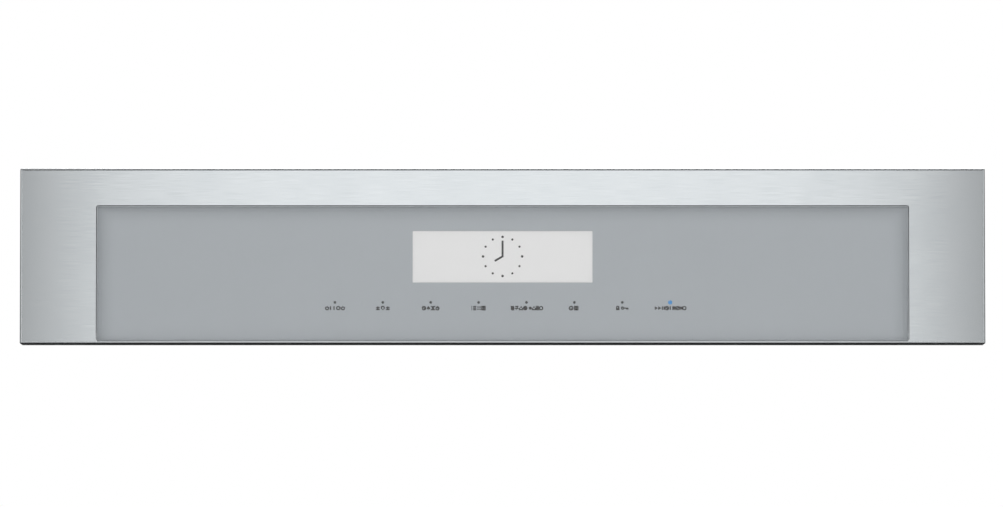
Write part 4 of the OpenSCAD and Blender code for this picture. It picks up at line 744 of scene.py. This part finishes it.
# Boards: copper tracks under the mask, drawn legends, small parts, leads and marks
boardLook = {
    "trackPitchMm": 0.9,
    "trackShare": 0.45,
    "blockMm": 7.0,
    "trackPaint": ("#2B6B48", 0.2),
    "viaMm": 0.34,
    "viaPitchMm": 3.1,
    "viaPaint": ("#C3C1AE", 0.3, 0.9),
}
onBoard = {
    "supply_board": ("transformer", "relays", "capacitors", "line_choke", "fuse", "heatsink",
                     "power_inlet", "link_headers", "earth_terminals", "board_screws",
                     "film_capacitor"),
    "control_board": ("processor", "control_chips", "buzzer", "bus_inlet", "ribbon_sockets",
                      "link_headers", "board_screws", "display_ribbon", "touch_ribbon"),
    "display_board": ("display_chips", "pillar_screws", "display_ribbon", "display_tail"),
    "touch_board": ("touch_chips", "touch_screws", "touch_ribbon"),
}
mask = finishes["board_green"]
tree = mask["tree"]
flat = addNode(tree, "VectorMath", {0: mask["where"], 1: (1, 0, 1)}, operation="MULTIPLY").outputs[0]
blocks = {"Vector": flat, "Scale": 1 / (boardLook["blockMm"] * mm), "Randomness": 0.8}
blocks = addNode(tree, "TexVoronoi", blocks, distance="CHEBYCHEV").outputs["Color"]
which = addNode(tree, "SeparateColor", {0: blocks}).outputs[0]
which = {0: which, 1: 0.5}  # tracks run across in half of the blocks and along in the others
which = addNode(tree, "Math", which, operation="GREATER_THAN").outputs[0]
pitch, share = boardLook["trackPitchMm"], boardLook["trackShare"]
runs = {0: which, 2: inStripe(mask, 0, pitch, share), 3: inStripe(mask, 2, pitch, share)}
inlay(mask, addNode(tree, "Mix", runs).outputs[0], *boardLook["trackPaint"])
pitch = boardLook["viaPitchMm"]
spots = {"Vector": flat, "Scale": 1 / (pitch * mm), "Randomness": 0.9}
spots = {0: addNode(tree, "TexVoronoi", spots).outputs["Distance"], 1: boardLook["viaMm"] / pitch}
spots = addNode(tree, "Math", spots, operation="LESS_THAN").outputs[0]
inlay(mask, spots, *boardLook["viaPaint"])

# White epoxy ink, screen-printed on the mask: matt, a little off white
legendInk = makeFinish("boardLegend", {
    "colour": "#E4E6E2", "tint": "#DADCD8", "grain": (0.2, 0.2, 0.2), "patch": 4, "patchShare": 0.5,
    "roughness": (0.5, 0.6), "relief": 0})
solder = finishes["tinned_steel"]
# Stacked ceramic, pressed and fired: brown and faintly mottled
ceramic = makeFinish("firedCeramic", {
    "colour": "#8A6A48", "tint": "#A08058", "grain": (0.2, 0.2, 0.2), "patch": 1.5, "patchShare": 0.8,
    "roughness": (0.4, 0.5), "relief": 0.004})


def barBox(low, high):  # a closed block between two corners
    low, high = np.array(low), np.array(high)
    middle, (width, _, height) = (low + high) / 2, high - low
    path = np.array([(middle[0], high[1], middle[2]), (middle[0], low[1], middle[2])])
    return carried(path, (1, 0, 0), (0, 0, 1), barPoints(width, height, -height / 2))


def boardBoxes(board):  # a board's own corners, and the boxes of the solids that stand on it
    low, high = boxOf(board)
    boxes = [one for name in onBoard[board] for one in solidBoxes(name)]
    inside = [(a, b) for a, b in boxes if b[0] > low[0] and a[0] < high[0]
              and b[2] > low[2] and a[2] < high[2] and b[1] > high[1]]
    return low, high, inside


# Legends: a printed outline round each part, with a small arrow at its corner
legendLook = {
    "lineMm": 0.22,
    "riseMm": 0.02,
    "roomMm": 0.7,  # from the part to its outline
    "edgeMm": 0.4,  # from the outline to the board's edge
    "leastMm": 1,
    "mostMm2": 1200,
    "arrowMm": (0.9, 0.2, 0.9),  # width, foot and tip
}


def makeLegend(board):
    low, high, inside = boardBoxes(board)
    low, high, face = low / mm, high / mm, high[1] / mm
    room, edge, least = legendLook["roomMm"], legendLook["edgeMm"], legendLook["leastMm"]
    depths, (wide, foot, tip) = (face, face + legendLook["riseMm"]), legendLook["arrowMm"]
    parts = []
    for a, b in inside:
        x0, z0, x1, z1 = a[0] / mm - room, a[2] / mm - room, b[0] / mm + room, b[2] / mm + room
        x0, x1 = max(x0, low[0] + edge), min(x1, high[0] - edge)
        z0, z1 = max(z0, low[2] + edge), min(z1, high[2] - edge)
        if (x1 - x0) * (z1 - z0) > legendLook["mostMm2"] or x1 - x0 < least or z1 - z0 < least:
            continue
        parts += [stroke([(x0, z0), (x0, z1), (x1, z1), (x1, z0)], depths, legendLook["lineMm"], True),
                  filled([(x0, z1 + foot), (x0 + wide, z1 + foot), (x0 + wide / 2, z1 + tip)], depths)]
    return parts


# Small parts: resistors, and brown ceramic capacitors as the last of the sizes
smallLook = {
    "sizesMm": ((2.0, 1.25, 0.6), (1.6, 0.8, 0.5), (3.2, 1.6, 0.7), (2.0, 1.25, 1.1)),
    "capShare": 0.22,
    "capOverlap": 0.98,
    "bodyLiftMm": 0.02,
    "bodyDropMm": 0.03,
    "roomMm": 1.3,  # round what stands on the board
    "gapMm": 0.5,  # round each other
    "edgeMm": 2,
    "gridMm": 0.5,
    "tries": 6000,
    "counts": {"supply_board": 46, "control_board": 78, "display_board": 46, "touch_board": 30},
    "seed": 5,
}


def makePassives(board, rng):
    # Small parts on a grid, each put down only where nothing else lies
    low, high, inside = boardBoxes(board)
    room, gap, edge, grid = (smallLook[key] for key in ("roomMm", "gapMm", "edgeMm", "gridMm"))
    taken = [(a[[0, 2]] / mm - room, b[[0, 2]] / mm + room) for a, b in inside]
    low, high, face = low / mm, high / mm, high[1] / mm
    kinds = smallLook["sizesMm"]
    most = len(inside) + smallLook["counts"][board]
    blocks, picks, brown = [], [], []
    tries = 0
    while len(taken) < most and tries < smallLook["tries"]:
        tries += 1
        kind = rng.integers(len(kinds))
        long, wide, tall = kinds[kind]
        size = np.array((long, wide) if rng.random() < 0.5 else (wide, long))
        place = np.round(rng.uniform(low[[0, 2]] + edge, high[[0, 2]] - edge) / grid) * grid
        a, b = place - size / 2, place + size / 2
        if any((a < d).all() and (b > c).all() for c, d in taken):
            continue
        taken.append((a - gap, b + gap))
        cap = np.where(size == long, smallLook["capShare"] * long, 0)
        body = cap * smallLook["capOverlap"]
        foot, crown = face + smallLook["bodyLiftMm"], face + tall - smallLook["bodyDropMm"]
        solids = ((a, np.where(cap > 0, a + cap, b), face, face + tall, 1),
                  (np.where(cap > 0, b - cap, a), b, face, face + tall, 1),
                  (a + body, b - body, foot, crown, 0))
        for c, d, y0, y1, pick in solids:
            blocks.append(barBox(np.array((c[0], y0, c[1])) * mm, np.array((d[0], y1, d[1])) * mm))
            picks.append(pick)
            brown.append(kind == len(kinds) - 1)
    return blocks, picks, brown


# Leads of the chips: gull wings of thin sheet, in even rows along two or four sides
leadLook = {
    "outMm": (-0.1, 0.35, 0.62, 1.25),  # of the lead's four points, from the body's side
    "sheetMm": 0.12,
    "widthShare": 0.42,
    "riseShare": 0.55,
    "endMm": 1.6,
    "squareMm": 0.5,
    "tallestMm": 1.7,
    "narrowestMm": 3.5,
    "pitchesMm": {"display": 0.8, "control": 0.8, "touch": 0.65},
}


def leadAt(place, out, drop, width):
    # A lead goes out of the body, down to the board and out again, all in millimetres
    sheet, deep = leadLook["sheetMm"], np.array((0, 1, 0))
    path = np.stack([leadLook["outMm"], (drop, drop, sheet, sheet)], -1)
    normal = np.array([(0, 1), (0.5, 0.87), (0.5, 0.87), (0, 1)])
    up = normal[:, :1] * out + normal[:, 1:] * deep
    path = place + path[:, :1] * out + path[:, 1:] * deep
    return carried(path * mm, np.cross(deep, out), up, barPoints(width, sheet, -sheet / 2) * mm)


def makeLeads(group, pitch):
    face = boxOf(group + "_board")[1][1] / mm
    parts = []
    for a, b in solidBoxes(group + "_chips"):
        a, b = a / mm, b / mm
        size = b - a
        narrow = min(size[0], size[2])
        if size[1] > leadLook["tallestMm"] or narrow < leadLook["narrowestMm"]:
            continue
        square = abs(size[0] - size[2]) < leadLook["squareMm"]
        for axis in (0, 2):
            if not square and size[axis] != narrow:
                continue
            other = 2 - axis
            count = int((size[other] - leadLook["endMm"]) / pitch)
            spread = (np.arange(count) - (count - 1) / 2) * pitch + (a[other] + b[other]) / 2
            for sign, edge in ((-1, a[axis]), (1, b[axis])):
                out = np.zeros(3)
                out[axis] = sign
                for where in spread:
                    place = np.zeros(3)
                    place[axis], place[other], place[1] = edge, where, face
                    parts.append(leadAt(place, out, leadLook["riseShare"] * size[1],
                                        leadLook["widthShare"] * pitch))
    return parts


rng = np.random.default_rng(smallLook["seed"])
small, smallPicks, legends = {False: [], True: []}, {False: [], True: []}, []
for board in onBoard:
    legends += makeLegend(board)
    for part, pick, brown in zip(*makePassives(board, rng)):
        small[brown].append(part)
        smallPicks[brown].append(pick)
putPiece("boardLegends", legends, legendInk)
kinds = (("chipResistors", finishes["chip_black"], False), ("chipCapacitors", ceramic, True))
for name, finish, brown in kinds:
    putPiece(name, small[brown], finish, second=solder, picks=smallPicks[brown])
leads = [lead for group, pitch in leadLook["pitchesMm"].items() for lead in makeLeads(group, pitch)]
putPiece("chipLeads", leads, solder)
print("boards: legends, small parts and leads placed")


# Choke: a coated ring core with two windings of enamelled wire on a moulded base
chokeLook = {"turns": 11, "windingDegrees": 150, "startsDegrees": (15, 195), "wireMm": 0.4,
             "coreMm": 2.7, "coilMm": 3.12, "ringMm": 6.4, "ringRiseMm": 4.96, "baseMm": 8,
             "baseRiseMm": 3.1}
# Ferrite ring dipped in epoxy: grey-green and satin
coating = makeFinish("coatedFerrite", {
    "colour": "#3B4A44", "tint": "#46564F", "grain": (0.4, 0.4, 0.4), "patch": 3, "patchShare": 0.4,
    "roughness": (0.4, 0.5), "relief": 0.006})


def makeChoke():
    # Coil: p = centre + (ring + coil cos b) radial(a) + coil sin b * depth, with b = turns * 2 pi t
    low, high = boxOf("line_choke") / mm
    x, _, z = (low + high) / 2
    centre, ring = np.array((x, low[1] + chokeLook["ringRiseMm"], z)), chokeLook["ringMm"]
    depth = np.array((0, 1, 0))

    def radial(a):
        return np.stack([np.cos(a), np.zeros_like(a), np.sin(a)], -1)

    a = np.linspace(0, 2 * np.pi, 48, endpoint=False)
    section = circlePoints(chokeLook["coreMm"], 20) * mm
    core = carried((centre + ring * radial(a)) * mm, radial(a), depth, section, True)
    coils = []
    for start in np.radians(chokeLook["startsDegrees"]):
        t = np.linspace(0, 1, chokeLook["turns"] * 18)
        a = start + t * np.radians(chokeLook["windingDegrees"])
        b = t * chokeLook["turns"] * 2 * np.pi
        outward = np.cos(b)[:, None] * radial(a) + np.sin(b)[:, None] * depth
        path = centre + ring * radial(a) + chokeLook["coilMm"] * outward
        ahead = np.gradient(path, axis=0)
        side = np.cross(outward, ahead / np.linalg.norm(ahead, axis=1, keepdims=True))
        coils.append(carried(path * mm, side, outward, circlePoints(chokeLook["wireMm"], 8) * mm))
    path = np.array([(x, low[1] + chokeLook["baseRiseMm"], z), (x, low[1], z)])
    base = carried(path * mm, (1, 0, 0), (0, 0, 1), circlePoints(chokeLook["baseMm"], 40) * mm)
    return core, coils, base


core, coils, base = makeChoke()
winding = putPiece("chokeWinding", coils, finishes["copper_wire"], smooth=True)
putPiece("chokeCore", [core], coating, smooth=True)
putPiece("chokeBase", [base], finishes["black_plastic"])
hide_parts("line_choke")


# Link cable: a round tube that hangs between its two headers and three clips
cableLook = {"clipShare": 0.64, "startMm": 0.1, "thinShare": 0.995, "stepsPerSpan": 16, "sides": 20}


def makeCable():
    # p = (x, y, top - sag (1 - cos 2 pi s) / 2), where s rises by 1 from one hold to the next
    low, high = boxOf("link_cable")
    radius = (high[1] - low[1]) / 2
    header = min(a[0] for a, _ in solidBoxes("link_headers") if a[0] > 0)
    end, clip = header - cableLook["startMm"] * mm, cableLook["clipShare"] * header
    holds = np.array([-end, -clip, 0, clip, end])
    s = np.arange((len(holds) - 1) * cableLook["stepsPerSpan"] + 1) / cableLook["stepsPerSpan"]
    sag = high[2] - low[2] - 2 * radius
    z = high[2] - radius - sag * (1 - np.cos(2 * np.pi * s)) / 2
    x = np.interp(s, np.arange(len(holds)), holds)
    path = np.stack([x, np.full(len(s), low[1] + radius), z], -1)
    ahead = np.gradient(path, axis=0)
    ahead /= np.linalg.norm(ahead, axis=1, keepdims=True)
    side = np.array((0, 1, 0))
    section = circlePoints(radius * cableLook["thinShare"], cableLook["sides"])
    return carried(path, side, np.cross(ahead, side), section)


cable = putPiece("linkCable", [makeCable()], finishes["cable_black"], smooth=True)
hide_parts("link_cable")


# Each header is a shroud on its board, with the cable's narrower plug standing in it
plugLook = {"shroudMm": 4.6, "wallMm": 0.7, "gapMm": 0.1, "footMm": 0.2, "ribPitchMm": 2.4,
            "ribHalfMm": 0.7}


def makeHeaders():
    shroud, wall, gap, foot, pitch, rib = (size * mm for size in plugLook.values())
    inset = wall + gap
    shrouds, plugs = [], []
    for (x0, y0, z0), (x1, y1, z1) in solidBoxes("link_headers"):
        deck, shoulder = y0 + shroud, y1 - wall
        walls = (((x0, y0, z0), (x0 + wall, deck, z1)), ((x1 - wall, y0, z0), (x1, deck, z1)),
                 ((x0, y0, z0), (x1, deck, z0 + wall)), ((x0, y0, z1 - wall), (x1, deck, z1)))
        shrouds += [barBox(a, b) for a, b in walls]
        plugs += [barBox((x0 + inset, y0 + foot, z0 + inset), (x1 - inset, shoulder, z1 - inset))]
        for step in (-1, 0, 1):
            z = (z0 + z1) / 2 + step * pitch
            a = (x0 + inset + wall, shoulder - gap, z - rib)
            plugs += [barBox(a, (x1 - inset - wall, y1, z + rib))]
    return shrouds + plugs, [0] * len(shrouds) + [1] * len(plugs)


parts, picks = makeHeaders()
headers = putPiece("linkPlugs", parts, finishes["cream_nylon"],
                   second=finishes["white_plastic"], picks=picks)
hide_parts("link_headers")
print("choke and link cable: wound and laid")


# Details of single pieces, laid over their finishes by place. A paint is a colour, a roughness and,
# where the detail differs in it, a metal share.

# Grey print: painted shade, softly darker towards its sides and its top, where the window's walls shade it
printShadeLook = {"reachMm": 9.0, "paint": ("#A1A7AC", 0.53)}
film = finishes["grey_film"]
tree = film["tree"]
filmHigh = boxOf("decor_film")[1]
place = addNode(tree, "SeparateXYZ", {0: film["where"]}).outputs
side = addNode(tree, "Math", {0: place[0]}, operation="ABSOLUTE").outputs[0]
side = addNode(tree, "Math", {0: filmHigh[0], 1: side}, operation="SUBTRACT").outputs[0]
rise = addNode(tree, "Math", {0: filmHigh[2], 1: place[2]}, operation="SUBTRACT").outputs[0]
least = addNode(tree, "Math", {0: side, 1: rise}, operation="MINIMUM").outputs[0]
share = {0: least, 2: printShadeLook["reachMm"] * mm, 3: 1.0, 4: 0.0}
inlay(film, addNode(tree, "MapRange", share).outputs[0], *printShadeLook["paint"])

# Capacitors: a pale stripe down the sleeve and a bare metal top, in shares of the radius
canLook = {"stripeHalf": 0.5, "stripeReach": (0.7, 1.1), "stripePaint": ("#AEB6BE", 0.25),
           "topHalf": 0.8, "topMm": 0.6, "topPaint": ("#B4B8BA", 0.3, 1.0)}
sleeve = finishes["sleeve_dark"]
for low, high in solidBoxes("capacitors"):
    x, _, z = (low + high) / 2
    radius = (high[0] - low[0]) / 2
    half, (near, far) = canLook["stripeHalf"] * radius, canLook["stripeReach"]
    markBox(sleeve, (x - half, low[1] - mm, z + near * radius),
            (x + half, high[1] + mm, z + far * radius), canLook["stripePaint"])
    half = canLook["topHalf"] * radius
    markBox(sleeve, (x - half, high[1] - canLook["topMm"] * mm, z - half),
            (x + half, high[1], z + half), canLook["topPaint"])

# Transformer: dark gaps between its sheets, and yellow tape round the winding in the middle
coreLook = {"sheetMm": 0.7, "sheetShare": 0.5, "gapPaint": ("#2F2922", 0.5),
            "windingMm": (8.6, 7.6), "tapePaint": ("#C9A93B", 0.32, 0.0)}
core = finishes["laminated_core"]
low, high = boxOf("transformer")
x, _, z = (low + high) / 2
across, up = np.array(coreLook["windingMm"]) * mm
inlay(core, inStripe(core, 1, coreLook["sheetMm"], coreLook["sheetShare"]), *coreLook["gapPaint"])
markBox(core, (x - across, low[1] - mm, z - up), (x + across, high[1] + mm, z + up), coreLook["tapePaint"])

# Fuse: metal ends and clips at both ends of the tube
fuseLook = {"endMm": 5.1, "endPaint": ("#BDBEBA", 0.25, 1.0)}
tube, end = finishes["fuse_glass"], fuseLook["endMm"] * mm
low, high = boxOf("fuse")
for a, b in ((low[2] - mm, low[2] + end), (high[2] - end, high[2] + mm)):
    markBox(tube, (low[0] - mm, low[1] - mm, a), (high[0] + mm, high[1] + mm, b), fuseLook["endPaint"])

# Inlets: tinned pins inside their walls, ending short of the mouth
inletLook = {"wallMm": 1.45, "mouthMm": 1.2, "pinPaint": ("#C4C3BC", 0.25, 1.0)}
nylon, wall = finishes["cream_nylon"], inletLook["wallMm"] * mm
for name in ("power_inlet", "bus_inlet"):
    low, high = boxOf(name)
    mouth = (high[0] - wall, high[1] - inletLook["mouthMm"] * mm, high[2] - wall)
    markBox(nylon, low + wall, mouth, inletLook["pinPaint"])

# Chips: the radio's shield, the crystals, the coil and the regulator's tab are bare metal
chipLook = {"shieldMm": 20, "crystalMm": (3, 3.5), "regulatorMm": 2, "tabMm": 2.6, "skinMm": 0.01,
            "metalPaint": ("#D5D8D8", 0.34, 1.0)}
chips, skin, (least, most) = finishes["chip_black"], chipLook["skinMm"] * mm, chipLook["crystalMm"]
for low, high in solidBoxes("control_chips") + solidBoxes("display_chips"):
    size = (high - low) / mm
    if size[0] > chipLook["shieldMm"] or least < size[1] < most:
        markBox(chips, low - skin, high + skin, chipLook["metalPaint"])
    elif size[1] > chipLook["regulatorMm"] and size[2] > size[0]:
        tab = (low[0] - skin, low[1], high[2] - chipLook["tabMm"] * mm)
        markBox(chips, tab, high + skin, chipLook["metalPaint"])

# Flat cables: white film over the strands, soldered bare at one end and stiffened blue at the other
stripLook = {"pitchMm": 1.0, "strandShare": 0.62, "strandPaint": ("#C3C5C3", 0.3), "bareMm": 4,
             "barePaint": ("#BFC0BC", 0.25, 1.0), "stiffMm": 8, "stiffPaint": ("#2E6DB4", 0.3)}
strip = finishes["ribbon_white"]
inlay(strip, inStripe(strip, 2, stripLook["pitchMm"], stripLook["strandShare"]), *stripLook["strandPaint"])
for name in ("display_ribbon", "touch_ribbon"):
    low, high = boxOf(name)
    bare, stiff = low[0] + stripLook["bareMm"] * mm, high[0] - stripLook["stiffMm"] * mm
    ends = ((low[0] - mm, bare, stripLook["barePaint"]), (stiff, high[0] + mm, stripLook["stiffPaint"]))
    for a, b, paint in ends:
        markBox(strip, (a, low[1] - mm, low[2]), (b, high[1] + mm, high[2]), paint)

# Display's tail: copper lines under amber film, bare where it is soldered to the board
tailLook = {"pitchMm": 0.8, "lineShare": 0.55, "linePaint": ("#8A4A1E", 0.26, 0.5),
            "bareMm": 3, "bareDepthMm": 0.3, "barePaint": ("#C9CAC4", 0.3, 1.0)}
tail = finishes["amber_film"]
inlay(tail, inStripe(tail, 0, tailLook["pitchMm"], tailLook["lineShare"]), *tailLook["linePaint"])
low, high = boxOf("display_tail")
foot = (low[0] - mm, high[1] - tailLook["bareDepthMm"] * mm, high[2] - tailLook["bareMm"] * mm)
markBox(tail, foot, high + mm, tailLook["barePaint"])

# Film capacitor: two printed lines on its back, by their height and width as shares of the case
caseLook = {"lines": ((0.62, 0.7), (0.4, 0.5)), "halfMm": 0.35, "depthMm": 0.2,
            "paint": ("#4A3A18", 0.5)}
case, thick = finishes["yellow_case"], caseLook["halfMm"] * mm
low, high = boxOf("film_capacitor")
for lift, width in caseLook["lines"]:
    x, z = (low[0] + high[0]) / 2, low[2] + lift * (high[2] - low[2])
    half = width * (high[0] - low[0]) / 2
    markBox(case, (x - half, high[1] - caseLook["depthMm"] * mm, z - thick),
            (x + half, high[1] + mm, z + thick), caseLook["paint"])

# Earth lead: the rear half of its insulation is yellow
leadPaint = ("#D8CF3A", 0.36)
low, high = boxOf("earth_lead")
markBox(finishes["earth_green"], (low[0] - mm, (low[1] + high[1]) / 2, low[2] - mm), high + mm, leadPaint)
print("details: laid over the board pieces")


low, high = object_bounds()
